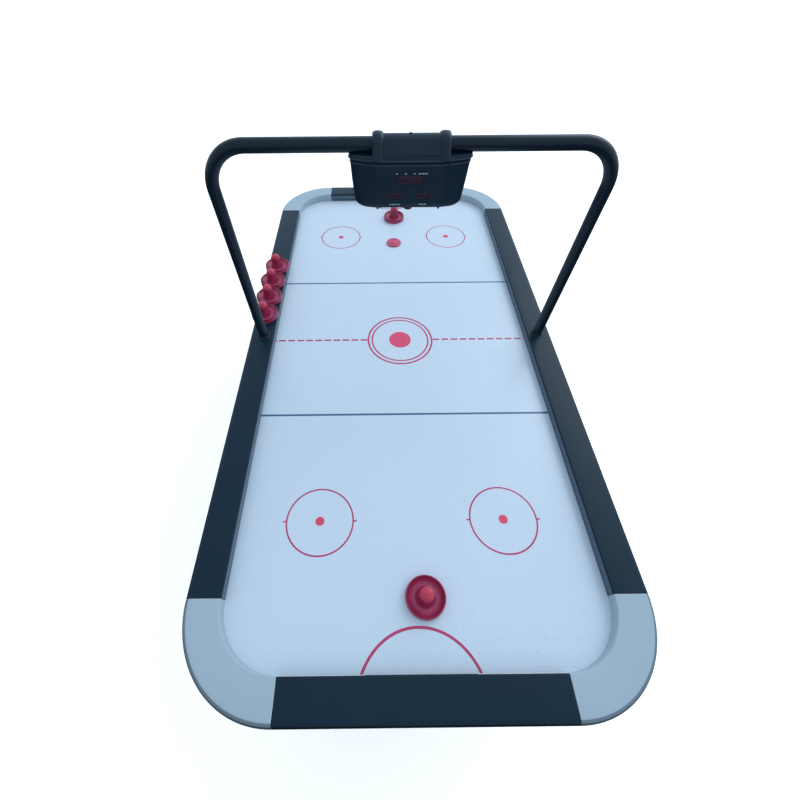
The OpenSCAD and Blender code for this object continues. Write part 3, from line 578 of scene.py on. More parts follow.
def finish_board(bm):
    mesh = bpy.data.meshes.new("play_surface")
    bmesh.ops.recalc_face_normals(bm, faces=bm.faces)
    bm.to_mesh(mesh)
    bm.free()
    for look in BOARD_LOOKS:
        mesh.materials.append(LOOKS[look])
    piece = put("play_surface", mesh)
    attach(piece, "table")
    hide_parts("playfield")
    return piece


# ---------- rails, corners and liners ----------

OUTER_ROUND = 15 * MM
INNER_ROUND = 3 * MM
SEAT_D = 1.5 * MM
SEAT_H = 26.5 * MM
WALL = 4 * MM
SEAM_EASE = 0.9 * MM
POST_PLAY = 0.3 * MM
RECESS_WALL = 18 * MM
RECESS_H = 16 * MM
GOAL_HALF = (TRAY_HIGH.x - TRAY_LOW.x) / 2 - 22 * MM
ROUND_STEPS = 10
OUTER_AT = (RAIL_W - OUTER_ROUND, RAIL_H - OUTER_ROUND)
TOP_CURVES = (arc(*OUTER_AT, OUTER_ROUND, 0, 90, ROUND_STEPS)
              + arc(INNER_ROUND, RAIL_H - INNER_ROUND, INNER_ROUND, 90, 180, 5))


def rail_section():
    """Outline of a rail: distance from the inner wall, and height above the playing surface."""
    return [(SEAT_D, 0), (RAIL_W, 0)] + TOP_CURVES + [(0, SEAT_H), (SEAT_D, SEAT_H)]


def corner_section():
    """Outline of a moulded corner: the rail's shape, hollow below, with a skirt outside."""
    hollow = arc(*OUTER_AT, OUTER_ROUND - WALL, 90, 0, ROUND_STEPS)
    return ([(RAIL_W, -APRON_H)] + TOP_CURVES + [(0, 0), (WALL, 0), (WALL, RAIL_H - WALL)]
            + hollow + [(RAIL_W - WALL, -APRON_H)])


def shrink(section, distance):
    """A flat closed outline moved inwards along its own normals."""
    moved = []
    for k, (x, y) in enumerate(section):
        before, after = Vector(section[k - 1]), Vector(section[(k + 1) % len(section)])
        here = Vector((x, y))
        one, two = (here - before).normalized(), (after - here).normalized()
        normal = Vector((-one.y - two.y, one.x + two.x))
        normal.normalize()
        moved.append(tuple(here + normal * distance / max(0.5, normal.dot(Vector((-one.y, one.x))))))
    return moved


def swept_rings(section, places):
    """Rings for loft(): each place is (a function from section point to space, inset)."""
    return [[place(u, v) for u, v in (shrink(section, inset) if inset else section)]
            for place, inset in places]


def section_picks(faces, section, looks_at):
    """Look index of each face of a swept section, from the number of the side it lies on."""
    return [looks_at.get(k % len(section), 0) if len(f) == 4 else 0 for k, f in enumerate(faces)]


# Rail sides 1 to 6 (outer wall and lower outer roundover) take the painted shade look.
RAIL_SHADE_LOOKS = dict.fromkeys(range(1, 7), 1)
# Corner sides 9 to 15 (the eased top at both seams) take the painted highlight look.
HIGHLIGHT_SIDES = range(9, 16)
HIGHLIGHT_LOOK = 3
# Corner sides 0 to 5 (skirt and lower roundover) take the darker painted shade, sides 6 to 8 the lighter
# painted shade.
CORNER_SHADE_LOOKS = {**dict.fromkeys(range(0, 6), 2), **dict.fromkeys(range(6, 9), 1)}


def beside_side(u, v, y):
    """A point of the right rail: u outwards from the inner wall, v over the playing surface."""
    return Vector((IN_X + u, y, FIELD_Z + v))


def beside_end(u, v, x):
    """The same for the far rail."""
    return Vector((x, IN_Y + u, FIELD_Z + v))


def make_rail(node, end, place, flip_x, flip_y, cut_by):
    """A rail from -end to end, eased at both; place turns (u, v, distance along) into a point."""
    stops = [(-end, SEAM_EASE), (-end + SEAM_EASE, 0), (end - SEAM_EASE, 0), (end, SEAM_EASE)]
    places = [(lambda u, v, at=at: place(u, v, at), inset) for at, inset in stops]
    points, faces = loft(swept_rings(rail_section(), places))
    piece = stand_in(node, (mirror_points(points, flip_x, flip_y), faces), "table",
                     ("rail", "rail_side"), "rail_laminate",
                     picks=section_picks(faces, rail_section(), RAIL_SHADE_LOOKS))
    cut(piece, cutter(cut_by))


def make_side_rail(node, side):
    """A side rail, with the hole of its arch post."""
    centre = (side * (SOCKET_LOW.x + SOCKET_HIGH.x) / 2, (SOCKET_LOW.y + SOCKET_HIGH.y) / 2, 0)
    hole = rod(TUBE_R + POST_PLAY, FIELD_Z - PAST, RAIL_TOP + PAST, centre, 48)
    make_rail(node, SIDE_END, beside_side, side < 0, False, hole)


def make_end_rail(node, side):
    """An end rail, with the recess over its goal slot."""
    low_y, high_y = sorted((side * (IN_Y - PAST), side * (OUT_Y - RECESS_WALL)))
    recess = block((-GOAL_HALF, low_y, FIELD_Z - PAST), (GOAL_HALF, high_y, FIELD_Z + RECESS_H))
    make_rail(node, END_END, beside_end, False, side < 0, recess)


def make_corner(node, flip_x, flip_y):
    """A corner swept through a quarter turn. Its outer side and roundover carry painted shade, and its
    eased top edge at both seams a painted highlight.
    """
    steps = 48
    ease = math.degrees(SEAM_EASE / (CORNER_HIGH.x - CORNER_LOW.x))

    def at(angle):
        a = math.radians(angle)
        return lambda u, v: Vector((CORNER_X + (CORNER_IN_R + u) * math.cos(a),
                                    CORNER_Y + (CORNER_IN_R + u) * math.sin(a), FIELD_Z + v))
    angles = [ease + (90 - 2 * ease) * k / steps for k in range(steps + 1)]
    places = [(at(0), SEAM_EASE)] + [(at(a), 0) for a in angles] + [(at(90), SEAM_EASE)]
    section = corner_section()
    points, faces = loft(swept_rings(section, places))
    picks = section_picks(faces, section, CORNER_SHADE_LOOKS)
    # The first and last ring spans, the eased seam ends, get the painted highlight on their top edge.
    for first in (0, len(section) * (len(places) - 2)):
        for k in HIGHLIGHT_SIDES:
            picks[first + k] = HIGHLIGHT_LOOK
    stand_in(node, (mirror_points(points, flip_x, flip_y), faces), "table",
             ("corner", "corner_edge", "corner_side", "corner_lip"), "corner_plastic", picks=picks)


LINER_GAP = 4 * MM
LINER_TOP = 24.5 * MM


def liner_section():
    """Face of the liner strip: two shallow grooves along its length."""
    t, groove = SEAT_D, 0.5 * MM
    low, high = LINER_GAP, LINER_TOP
    face = [(0.4 * MM, low), (0, low + 0.4 * MM)]
    for middle in (low + 6 * MM, high - 6 * MM):
        face += [(0, middle - 0.9 * MM), (groove, middle - 0.5 * MM),
                 (groove, middle + 0.5 * MM), (0, middle + 0.9 * MM)]
    face += [(0, high - 0.4 * MM), (0.4 * MM, high)]
    return [(t, low)] + face + [(t, high)]


def make_liners():
    """Metal strips along the side walls and beside the goal slots, each with a dark seal below."""
    seal = [(SEAT_D, 0.3 * MM), (0.6 * MM, 0.3 * MM), (0.6 * MM, LINER_GAP), (SEAT_D, LINER_GAP)]
    for name, section, look, slot, stands_for in (
            ("liner_strip", liner_section(), "liner", "liner_metal", ("rail_liners",)),
            ("liner_seal", seal, "black", "black_plastic", ())):
        shells = []
        for place, ends, flips in ((beside_side, (-SIDE_END, SIDE_END), (False,)),
                                   (beside_end, (GOAL_HALF, END_END), (False, True))):
            points, faces = loft([[place(u, v, at) for u, v in section] for at in ends])
            shells += [(mirror_points(points, flip_x, flip_y), faces)
                       for flip_x in (False, True) for flip_y in flips]
        add_piece(name, *gather(shells), "table", (look,), slot=slot, stands_for=stands_for)


# ---------- arch ----------

def make_arch_tube(node, side):
    """Post, bend and half of the top bar as one bent tube with open ends closed flat."""
    low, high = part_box(node)
    radius = (high.y - low.y) / 2
    middle_y = (high.y + low.y) / 2
    outer_x = high.x if side > 0 else -low.x
    inner_x = low.x if side > 0 else high.x
    post_x = outer_x - radius
    bar_z = high.z - radius
    turn_x, turn_z = post_x - BEND_R, bar_z - BEND_R
    line = [Vector((side * post_x, middle_y, low.z)), Vector((side * post_x, middle_y, turn_z - 1e-4))]
    line += [Vector((side * (turn_x + x), middle_y, turn_z + z))
             for x, z in arc(0, 0, BEND_R, 0, 90, 28)]
    line += [Vector((side * (turn_x - 1e-4), middle_y, bar_z)), Vector((inner_x, middle_y, bar_z))]
    stand_in(node, tube(line, radius, 40), "table", ("arch",), "arch_paint")


BEND_R = 99.5 * MM


def tube(line, radius, sides):
    """A round tube along a line that stays in one plane, across the Y axis."""
    rings = []
    for k, point in enumerate(line):
        ahead = line[min(k + 1, len(line) - 1)] - line[max(k - 1, 0)]
        ahead.normalize()
        across = Vector((0, 1, 0))
        up = ahead.cross(across)
        rings.append([point + radius * (math.cos(a) * across + math.sin(a) * up)
                      for a in (2 * math.pi * i / sides for i in range(sides))])
    return loft(rings)


def make_socket(node):
    low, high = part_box(node)
    outer = (high.x - low.x) / 2
    inner = TUBE_R + 0.15 * MM
    height = high.z - low.z
    skirt = [(outer, 0), (outer, 0.9 * MM), (inner + 3 * MM, 1.5 * MM), (inner + 2 * MM, 3 * MM),
             (inner + 1.2 * MM, height - 0.8 * MM), (inner + 0.6 * MM, height), (inner, height)]
    profile = [(inner, 0)] + soften(skirt, 2) + [(inner, 0)]
    stand_in(node, spin(profile, base_of(low, high), 64), "table", ("arch",), "black_plastic")


# ---------- score unit ----------

CASE_X = (CASE_LOW.x + CASE_HIGH.x) / 2
CASE_Y = (SLEEVE_LOW.y + SLEEVE_HIGH.y) / 2
CASE_HALF_W = (CASE_HIGH.x - CASE_LOW.x) / 2
CASE_HALF_D = BACK_HIGH.y - CASE_Y
CASE_BOTTOM = BACK_LOW.z
TONGUE_TOP = BACK_HIGH.z
SEAM_Z = TONGUE_TOP - 5.8 * MM
PANEL_HALF_W = 80 * MM
TOP_ROUND = 0.62
BOTTOM_ROUND = 0.9
PEG_X = 76 * MM
PEG_Y = -20 * MM
CASE_WALL = 3 * MM
BUTTON_COLLAR = 1.2 * MM
BUTTON_HOLE_R = (BUTTON_HIGH.x - BUTTON_LOW.x) / 2 - 0.8 * MM
TIME_WINDOW = (58 * MM, 19 * MM)
SCORE_WINDOW = (31.5 * MM, 15.5 * MM)
SLEEVE_R = 21 * MM
STRAP_R = 26 * MM
FLANGE = (TONGUE_TOP + 0.2 * MM, TONGUE_TOP + 10.2 * MM)


def soften(points, passes=2, closed=False):
    """Cuts the corners of a line, so that it runs smoothly. An open line keeps its ends."""
    for _ in range(passes):
        cutback = [] if closed else [points[0]]
        for (x, y), (nx, ny) in zip(points, points[1:] + points[:1] if closed else points[1:]):
            cutback += [(0.75 * x + 0.25 * nx, 0.75 * y + 0.25 * ny),
                        (0.25 * x + 0.75 * nx, 0.25 * y + 0.75 * ny)]
        points = cutback if closed else cutback + [points[-1]]
    return points


def case_plan(w, d, share):
    """Plan of the case: a flat panel on each side and rounded ends. share: end radius to depth."""
    end_r = d * share
    quarter = [(PANEL_HALF_W - 6 * MM, d), (PANEL_HALF_W, d), (PANEL_HALF_W + 4 * MM, d - 1.1 * MM)]
    quarter += [(w - end_r + end_r * math.cos(math.radians(a)), end_r * math.sin(math.radians(a)))
                for a in (75, 58, 40, 22, 7)]
    half = quarter + [(x, -y) for x, y in reversed(quarter)]
    return soften(half + [(-x, y) for x, y in reversed(half)], closed=True)


def case_ring(z, w, d, share=TOP_ROUND):
    return [Vector((CASE_X + x, CASE_Y + y, z)) for x, y in case_plan(w, d, share)]


def case_levels(inset):
    """(height, half width, half depth, end rounding) of the case from the bottom up."""
    w, d, low = CASE_HALF_W - inset, CASE_HALF_D - inset, CASE_BOTTOM + inset
    levels = []
    for k in range(9):
        a = math.radians(90 - 90 * k / 8)
        levels.append((low + 14 * MM * (1 - math.sin(a)), w - 27 * MM + 19 * MM * math.cos(a),
                       d - 4 * MM + 4 * MM * math.cos(a), BOTTOM_ROUND))
    return levels + [(CASE_BOTTOM + 57 * MM, w - 4 * MM, d, 0.7)]


RIM = ((-5.2, 1.7), (-4.2, 1.5), (-3.4, 0.4), (-2.4, 0), (-1.2, 0.1), (-0.4, 0.6), (0, 1.5),
       (0.1, 3.0), (5.8, 3.0))


def highlight_picks(faces, count, rings):
    """Look index of each face of a loft: 1, the painted highlight look, on the edge between two of its
    rings.
    """
    return [1 if rings[0] * count <= min(f) and max(f) < (rings[1] + 1) * count and len(f) == 4 else 0
            for f in faces]


def make_case():
    """Front and back half of the hollow case, with its windows and the button's hole."""
    outer = [case_ring(*level) for level in case_levels(0)]
    first = len(outer)
    outer += [case_ring(SEAM_Z + z * MM, CASE_HALF_W - k * MM, CASE_HALF_D - k * MM) for z, k in RIM]
    inner = [case_ring(*level) for level in case_levels(CASE_WALL)]
    inner.append(case_ring(TONGUE_TOP + 1 * MM, CASE_HALF_W - 1.7 * CASE_WALL,
                           CASE_HALF_D - 1.7 * CASE_WALL))
    for node, side in (("scorer_front_shell", -1), ("scorer_back_shell", 1)):
        points, faces = loft(outer)
        # The case's rim bead carries the painted highlight look.
        shell = stand_in(node, (points, faces), "table", ("case", "case_edge"), "case_plastic",
                         picks=highlight_picks(faces, len(outer[0]), (first + 3, first + 6)))
        y0, y1 = sorted((CASE_Y - side * CLEAR, CASE_Y + side * 0.15 * MM))
        other_half = block((CASE_X - CLEAR, y0, CASE_BOTTOM - PAST),
                           (CASE_X + CLEAR, y1, TONGUE_TOP + PAST))
        button_x, button_y, _ = base_of(BUTTON_LOW, BUTTON_HIGH)
        hole = rod(BUTTON_HOLE_R, CASE_BOTTOM - PAST, CASE_BOTTOM + PAST, (button_x, button_y, 0), 48)
        windows = [block((c.x - w / 2, c.y - PAST, c.z - h / 2), (c.x + w / 2, c.y + PAST, c.z + h / 2))
                   for c, w, h in window_places(side)]
        cut(shell, *[cutter(shape) for shape in (loft(inner), other_half, hole, *windows)])
        bevel(shell, 0.35 * MM, 2, 50)


def window_places(side):
    """Centre, width and height of the windows on one side, from the CAD lenses."""
    y = CASE_Y + side * CASE_HALF_D
    x = (LENS_LOW.x + LENS_HIGH.x) / 2
    slack = 0.1 * MM
    places = [(Vector((x, y, LENS_HIGH.z + slack - TIME_WINDOW[1] / 2)), *TIME_WINDOW)]
    for edge, inward in ((LENS_LOW.x - slack, 1), (LENS_HIGH.x + slack, -1)):
        centre = Vector((edge + inward * SCORE_WINDOW[0] / 2, y, LENS_LOW.z - slack + SCORE_WINDOW[1] / 2))
        places.append((centre, *SCORE_WINDOW))
    return places


def rounded_rect(w, h, r, steps=5):
    """Outline of a rectangle with rounded corners about the origin."""
    outline = []
    for sx, sy, start in ((1, 1, 0), (-1, 1, 90), (-1, -1, 180), (1, -1, 270)):
        outline += arc(sx * (w / 2 - r), sy * (h / 2 - r), r, start, start + 90, steps)
    return outline


def plate(cx, cz, w, h, r, layers):
    """A flat piece of rounded rectangles stacked along Y: layers are (y, inset)."""
    return loft([[Vector((cx + x, y, cz + z)) for x, z in rounded_rect(w - 2 * k, h - 2 * k, r)]
                 for y, k in layers])


def make_lenses():
    shells = []
    for side in (-1, 1):
        for centre, w, h in window_places(side):
            face_y = centre.y - side * 0.6 * MM
            layers = [(face_y, 0.5 * MM), (face_y - side * 0.3 * MM, 0.1 * MM),
                      (face_y - side * 1.5 * MM, 0.1 * MM)]
            shells.append(plate(centre.x, centre.z, w, h, 1.0 * MM, layers))
    add_piece("scorer_lenses", *gather(shells), "table", ("lens",), slot="window_plastic",
              stands_for=("scorer_windows",))


def make_marks():
    """Plain marks on both faces, standing for the printed words."""
    rows = [(80 * MM, 2.8 * MM, [(-31.5, 4), (-10.7, 4.5), (9.7, 4.5), (22, 7), (30, 7), (37.5, 6)]),
            (9.3 * MM, 2.8 * MM, [(-45, 5), (-38.5, 6), (-31, 6), (-24, 5), (27, 5), (34, 6), (41, 5)])]
    shells = []
    for side in (-1, 1):
        face_y = CASE_Y + side * (CASE_HALF_D + 0.15 * MM)
        layers = [(face_y, 0.1 * MM), (face_y - side * 0.6 * MM, 0)]
        for rise, h, marks in rows:
            shells += [plate(CASE_X - side * x * MM, CASE_BOTTOM + rise, w * MM, h, h * 0.45, layers)
                       for x, w in marks]
    add_piece("scorer_marks", *gather(shells), "table", ("mark",), slot="case_plastic")


def sleeve_outline(r, foot_half, foot_z):
    """Section of the sleeve: over the bar, then straight down to its foot. (depth, height)"""
    corner = (foot_half, foot_z + 4 * MM)
    reach = math.hypot(*corner)
    start = math.degrees(math.atan2(corner[1], corner[0]) + math.acos(min(1, r / reach)))
    over = arc(0, 0, r, start, 180 - start, 36)
    return ([(foot_half, foot_z), (foot_half, foot_z + 3.2 * MM), (foot_half - 0.6 * MM, foot_z + 4.4 * MM)]
            + over + [(-foot_half + 0.6 * MM, foot_z + 4.4 * MM), (-foot_half, foot_z + 3.2 * MM),
                      (-foot_half, foot_z)])


def make_cover():
    """Top cover: a flange with a soft edge, and a sleeve with a raised strap at each end."""
    z0, z1 = FLANGE
    w, d = CASE_HALF_W + 3 * MM, CASE_HALF_D + 3 * MM
    levels = [(z0, 1.4), (z0 + 0.4 * MM, 0.4), (z0 + 1.1 * MM, 0), (z0 + 1.9 * MM, 0.2),
              (z0 + 2.6 * MM, 0.9), (z0 + 3.3 * MM, 1.5), (z1 - 3.4 * MM, 1.7), (z1 - 1.6 * MM, 2.2),
              (z1 - 0.5 * MM, 3.2), (z1, 4.8)]
    rings = [case_ring(z, w - k * MM, d - k * MM) for z, k in levels]
    points, faces = loft(rings)
    # The flange's lower rounded edge carries the painted highlight look.
    stand_in("scorer_top_cover", (points, faces), "table", ("case", "case_edge"), "case_plastic",
             sharp=40, picks=highlight_picks(faces, len(rings[0]), (2, 4)))
    foot_z, strap_z = z1 - BAR_Z - 1 * MM, z0 - BAR_Z + 0.4 * MM
    crown = ((88, -4.8), (87.2, -3.2), (85.4, -1.7), (82.6, -0.6), (79, -0.1), (75.5, 0), (72, -0.1),
             (68.6, -0.6), (65.6, -1.7), (63.8, -3.2), (63, -5.0))
    steps = [(x * MM, k) for x, k in crown]
    places = [(-x, k) for x, k in steps] + [(x, k) for x, k in reversed(steps)]
    rings = []
    for x, k in places:
        on_strap = k > -5
        foot = CASE_HALF_D + (3.0 + k * 0.4 if on_strap else -1.0) * MM
        outline = sleeve_outline(STRAP_R + k * MM, foot, strap_z if on_strap else foot_z)
        rings.append([Vector((CASE_X + x, CASE_Y + y, BAR_Z + z)) for y, z in outline])
    sleeve = add_piece("scorer_sleeve", *loft(rings), "table", ("case",), slot="case_plastic", sharp=40)
    cut(sleeve, cutter(rod(TUBE_R + 0.1 * MM, -CLEAR, CLEAR, (CASE_X, CASE_Y, BAR_Z), 64, "X")))
    screw = soften([(0, 2.1), (2.6, 1.9), (3.6, 0.9), (3.9, -1), (0, -1)], 2)
    add_piece("scorer_top_screw", *spin([(r * MM, z * MM) for r, z in screw],
              (CASE_X - 2 * MM, CASE_Y, BAR_Z + SLEEVE_R), 32), "table", ("black",), slot="case_plastic")


def make_button():
    low, high = BUTTON_LOW, BUTTON_HIGH
    radius = (high.x - low.x) / 2 - BUTTON_COLLAR
    x, y, _ = base_of(low, high)
    profile = [(0, low.z), (radius - 5 * MM, low.z + 0.3 * MM), (radius - 1.5 * MM, low.z + 1.6 * MM),
               (radius - 0.2 * MM, low.z + 3.8 * MM), (radius, low.z + 6 * MM),
               (radius, high.z - 1.6 * MM), (radius + BUTTON_COLLAR, high.z - 1.6 * MM),
               (radius + BUTTON_COLLAR, high.z), (0, high.z)]
    add_piece("score_button_cap", *spin(profile, (x, y, 0), 64), "button", ("button",),
              slot="red_button_plastic", stands_for=("scorer_button",), sharp=50)
    peg = [(r * MM, z * MM) for r, z in soften([(0, -7), (2.2, -7), (3, -6), (3, 1), (0, 1)])]
    for name, x in (("scorer_peg_left", -PEG_X), ("scorer_peg_right", PEG_X)):
        add_piece(name, *spin(peg, (CASE_X + x, CASE_Y + PEG_Y, CASE_BOTTOM), 24), "table", ("black",),
                  slot="case_plastic")


# ---------- pushers and puck ----------

PUSHER_OUTSIDE = [(44.6, 0.3), (46.6, 0.3), (47.5, 1.2), (47.4, 5), (47.2, 10), (47.0, 14.6),
                  (46.9, 16.4), (46.2, 17.5), (44.9, 17.9), (43.6, 17.4), (42.5, 16.0), (40.6, 13.0),
                  (37.4, 9.4), (34.6, 7.2), (32, 6.4), (29, 6.3), (26.4, 6.4), (24.2, 7.2),
                  (22.6, 10.0), (20.8, 15.0), (18.8, 21.4), (17.5, 27.6), (16.8, 33), (16.5, 38),
                  (16.8, 42.8), (17.0, 46.6), (16.0, 51.2), (13.4, 55.8), (9.4, 58.8), (4.8, 59.9),
                  (0, 60.0)]
PUSHER_INSIDE = [(0, 44.9), (11.6, 44.8), (13.3, 43), (13.4, 38), (14, 30), (16.8, 18), (20.4, 5),
                 (21, 0.3), (22.5, 0.3), (39.4, 0.3), (39.6, 1), (42.2, 10.4), (43.8, 10.9), (44.2, 1)]


def make_pusher(node, body):
    at = base_of(*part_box(node))
    outline = soften(PUSHER_INSIDE[:-1], 1) + soften([PUSHER_INSIDE[-1]] + PUSHER_OUTSIDE, 1)
    profile = [(r * MM, z * MM) for r, z in outline]
    stand_in(node, spin(profile, at, 112), body, ("pusher",), "pusher_red", sharp=48)
    ring = [(23.2, 0.35), (22.9, 0.05), (38.8, 0.05), (39.2, 0.35), (39.0, 0.7), (23.5, 0.7)]
    points, faces = loft([[Vector((at[0] + r * MM * math.cos(a), at[1] + r * MM * math.sin(a),
                                   at[2] + z * MM)) for r, z in ring]
                          for a in (2 * math.pi * k / 96 for k in range(96))], loop=True)
    add_piece(node + "_felt", points, faces, body, ("felt",), slot="pusher_red")


def make_puck():
    low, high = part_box("puck")
    radius, thick = (high.x - low.x) / 2, high.z - low.z
    face = [(0, 0), (radius * 0.72, 0), (radius * 0.74, 0.35 * MM), (radius * 0.78, 0.35 * MM),
            (radius * 0.80, 0), (radius - 1.1 * MM, 0), (radius - 0.3 * MM, 0.3 * MM),
            (radius, 1.1 * MM)]
    profile = face + [(r, thick - z) for r, z in reversed(face)]
    stand_in("puck", spin(profile, base_of(low, high), 96), "puck_body", ("puck",), "puck_red", sharp=40)


# ---------- cabinet, legs and feet ----------

def make_panel(node, look, slot, width, *openings):
    """A board with eased edges in place of a plain CAD box, with openings cut through it."""
    piece = stand_in(node, block(*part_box(node)), "table", (look,), slot)
    if openings:
        cut(piece, *[cutter(shape) for shape in openings])
    bevel(piece, width, 3, 40)


def make_cabinet():
    half = TRAY_HIGH.x - 17.6 * MM
    for node in ("end_apron_far", "end_apron_near"):
        low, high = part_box(node)
        window = block((-half, low.y - PAST, TRAY_LOW.z - 0.4 * MM),
                       (half, high.y + PAST, TRAY_LOW.z + 79 * MM))
        make_panel(node, "apron", "apron_laminate", 1.2 * MM, window)
    make_panel("side_apron_left", "apron", "apron_laminate", 1.2 * MM)
    low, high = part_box("power_panel")
    play = Vector((0, 0.3 * MM, 0.3 * MM))
    seat = block(Vector((OUT_X - 3.2 * MM, low.y, low.z)) - play,
                 Vector((OUT_X + PAST, high.y, high.z)) + play)
    middle = (low + high) / 2
    through = block((OUT_X - 50 * MM, middle.y - 36 * MM, middle.z - 15 * MM),
                    (OUT_X + PAST, middle.y + 36 * MM, middle.z + 15 * MM))
    make_panel("side_apron_right", "apron", "apron_laminate", 1.0 * MM, seat, through)
    for node in ("leg_stretcher_near", "leg_stretcher_far"):
        make_panel(node, "leg", "leg_laminate", 1.5 * MM)


LEG_BOLT_Z = (600 * MM, 680 * MM)


def make_leg(node):
    low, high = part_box(node)
    middle = (low + high) / 2
    openings = [rod(8 * MM, low.z - PAST, low.z + 41 * MM, (middle.x, middle.y, 0), 48)]
    openings += [rod(4.2 * MM, -CLEAR, CLEAR, (middle.x, middle.y, z), 32, "X") for z in LEG_BOLT_Z]
    make_panel(node, "leg", "leg_laminate", 2.2 * MM, *openings)


THREAD_PITCH = 1.5 * MM


def make_leveler(node, body):
    """Foot, lock nut and threaded stem, with a rubber sole."""
    low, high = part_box(node)
    radius = (high.x - low.x) / 2
    at = ((low.x + high.x) / 2, (low.y + high.y) / 2, 0)
    profile = [(0, 2 * MM), (radius - 2.4 * MM, 2 * MM), (radius - 2.2 * MM, 3 * MM),
               (radius - 0.4 * MM, 3.2 * MM), (radius, 4 * MM), (radius - 0.4 * MM, 6 * MM),
               (radius - 4 * MM, 7.6 * MM), (14 * MM, 9 * MM), (10.5 * MM, 10 * MM), (5 * MM, 10 * MM)]
    z = 10 * MM
    while z < high.z - THREAD_PITCH:
        profile += [(4.45 * MM, z + 0.1 * MM), (4.98 * MM, z + THREAD_PITCH / 2)]
        z += THREAD_PITCH
    profile += [(4.2 * MM, high.z - 0.6 * MM), (3.4 * MM, high.z), (0, high.z)]
    stand_in(node, spin(profile, at, 48), body, ("dark_steel",), "leveler_steel", sharp=30)
    nut = loft([[Vector((at[0] + r * math.cos(a), at[1] + r * math.sin(a), z))
                 for a in (2 * math.pi * k / 6 for k in range(6))]
                for z, r in ((10 * MM, 8.5 * MM), (17 * MM, 8.5 * MM))])
    bevel(add_piece(node + "_nut", *nut, body, ("zinc",), slot="leveler_steel"), 0.7 * MM, 2)
    sole = [(0, 0), (radius - 3.4 * MM, 0), (radius - 2.6 * MM, 0.6 * MM), (radius - 2.5 * MM, 2.4 * MM),
            (0, 2.4 * MM)]
    add_piece(node + "_sole", *spin(sole, at, 48), body, ("black",), slot="leveler_steel")


def dress(node, look):
    """A procedural look for a CAD node that is shown as it is."""
    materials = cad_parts[node].data.materials
    materials.clear()
    materials.append(LOOKS[look])


CARRIED_OVER = {
    "board": ("plenum_frame", "plenum_ribs", "plenum_floor"),
    "zinc": ("leg_inserts", "leg_bolts", "arch_joiner", "pan_screws"),
    "black": ("goal_tray_near", "goal_tray_far", "goal_sensors", "blower_housing", "blower_grille",
              "power_panel", "power_inlet"),
    "wheel": ("blower_impeller",), "dark_steel": ("blower_motor", "arch_brackets"),
    "button": ("power_rocker",), "circuit": ("scorer_boards",), "digit": ("scorer_digits",),
}


# ---------- building it ----------

def build():
    make_playfield()
    for side, name in ((1, "right"), (-1, "left")):
        make_side_rail("side_rail_" + name, side)
        make_arch_tube("arch_tube_" + name, side)
        make_socket("arch_socket_" + name)
    for side, name in ((1, "far"), (-1, "near")):
        make_end_rail("end_rail_" + name, side)
        make_pusher("pusher_" + name, name + "_pusher")
        for flip_x, across in ((True, "left"), (False, "right")):
            make_corner(f"corner_{name}_{across}", flip_x, side < 0)
            make_leg(f"leg_{name}_{across}")
            make_leveler(f"leveler_{name}_{across}", f"foot_{name}_{across}")
    for k in range(1, 5):
        make_pusher(f"pusher_rail_{k}", f"rail_pusher_{k}")
    make_liners()
    make_case()
    make_lenses()
    make_marks()
    make_cover()
    make_button()
    make_puck()
    make_cabinet()
    for look, nodes in CARRIED_OVER.items():
        for node in nodes:
            dress(node, look)


# ---------- studio ----------

FLOOR_HALF = 60.0
CAMERA_AT = (-0.094, -0.9665, 1.7766)
CAMERA_TURNS = (("Z", -0.222), ("X", 35.09), ("Z", -0.40))
CAMERA_LENS = 17.02
CAMERA_SHIFT = (0.0307, 0.0005)
SKY_ZENITH = (0.55, 0.72, 0.88)
SKY_HORIZON = (0.86, 1.03, 1.18)
SKY_BELOW = (0.05, 0.06, 0.07)
BRIGHT_SIDE = (0.50, 0.80, 0.33)
SKY_STRENGTH = (0.55, 1.25)
FLOOR_GLOW = 0.50
KEY_AT = (4.2, 3.4, 5.2)
KEY_SIZE = 4.5
KEY_POWER = 150.0
KEY_COLOR = (0.86, 0.95, 1.0)


def make_floor():
    corners = [(x, y, 0) for x, y in ((-1, -1), (1, -1), (1, 1), (-1, 1))]
    floor = add_piece("floor", [Vector(c) * FLOOR_HALF for c in corners], [(0, 1, 2, 3)], None,
                      ("floor",))
    shader = LOOKS["floor"].node_tree.nodes["Principled BSDF"]
    shader.inputs["Emission Color"].default_value = (1, 1, 1, 1)
    shader.inputs["Emission Strength"].default_value = FLOOR_GLOW
    floor.visible_diffuse = False
    floor.visible_glossy = False


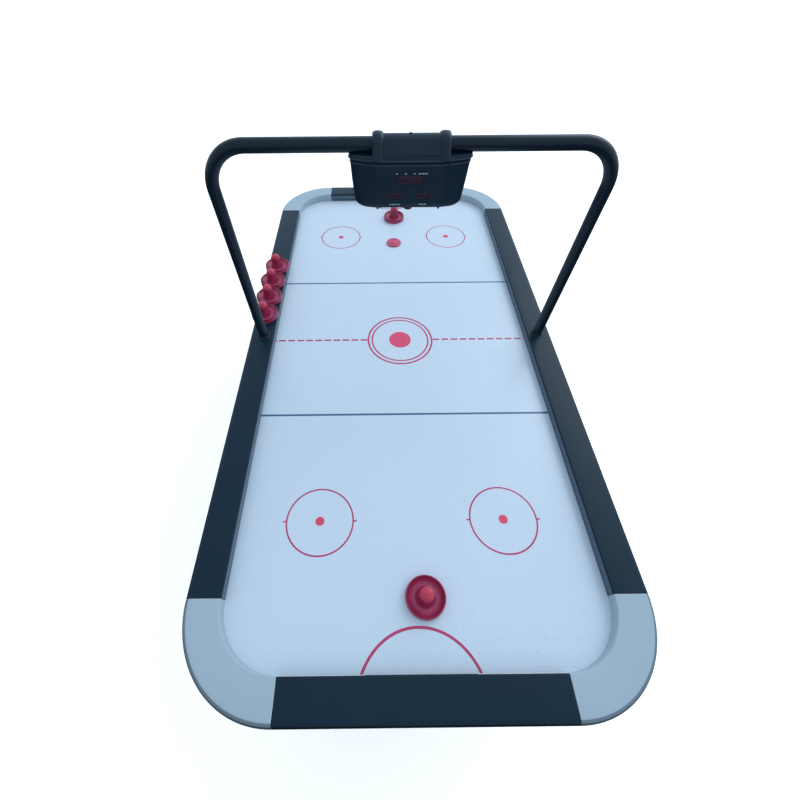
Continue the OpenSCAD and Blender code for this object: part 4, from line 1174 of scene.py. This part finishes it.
def make_sky():
    """Soft light from all round, darker overhead and brighter on one side."""
    world = bpy.data.worlds.new("studio")
    bpy.context.scene.world = world
    world.use_nodes = True
    tree = world.node_tree
    coords = tree.nodes.new("ShaderNodeTexCoord")
    parts = tree.nodes.new("ShaderNodeSeparateXYZ")
    tree.links.new(coords.outputs["Generated"], parts.inputs["Vector"])
    ramp = tree.nodes.new("ShaderNodeValToRGB")
    ramp.color_ramp.elements[0].color = (*SKY_BELOW, 1)
    ramp.color_ramp.elements[0].position = 0.42
    ramp.color_ramp.elements[1].color = (*SKY_ZENITH, 1)
    ramp.color_ramp.elements.new(0.48).color = (*SKY_HORIZON, 1)
    tree.links.new(link_range(tree, parts.outputs["Z"], 0.0, 1.0, -1.0, 1.0), ramp.inputs["Fac"])
    tree.links.new(ramp.outputs["Color"], tree.nodes["Background"].inputs["Color"])
    facing = tree.nodes.new("ShaderNodeVectorMath")
    facing.operation = "DOT_PRODUCT"
    facing.inputs[1].default_value = BRIGHT_SIDE
    tree.links.new(coords.outputs["Generated"], facing.inputs[0])
    strength = link_range(tree, facing.outputs["Value"], *SKY_STRENGTH, -1.0, 1.0)
    tree.links.new(strength, tree.nodes["Background"].inputs["Strength"])


def make_lights():
    key = bpy.data.lights.new("key", "AREA")
    key.shape = "SQUARE"
    key.size = KEY_SIZE
    key.energy = KEY_POWER
    key.color = KEY_COLOR
    lamp = put("key", key)
    lamp.location = KEY_AT
    lamp.rotation_euler = (-Vector(KEY_AT)).to_track_quat("-Z", "Y").to_euler()


def make_camera():
    data = bpy.data.cameras.new("camera")
    data.sensor_width = 36
    data.lens = CAMERA_LENS
    data.shift_x, data.shift_y = CAMERA_SHIFT
    camera = put("camera", data)
    turn = Matrix.Translation(CAMERA_AT)
    for axis, degrees in CAMERA_TURNS:
        turn = turn @ Matrix.Rotation(math.radians(degrees), 4, axis)
    camera.matrix_world = turn
    bpy.context.scene.camera = camera


build()
make_floor()
make_sky()
make_lights()
make_camera()
bpy.context.scene.view_settings.view_transform = "Standard"
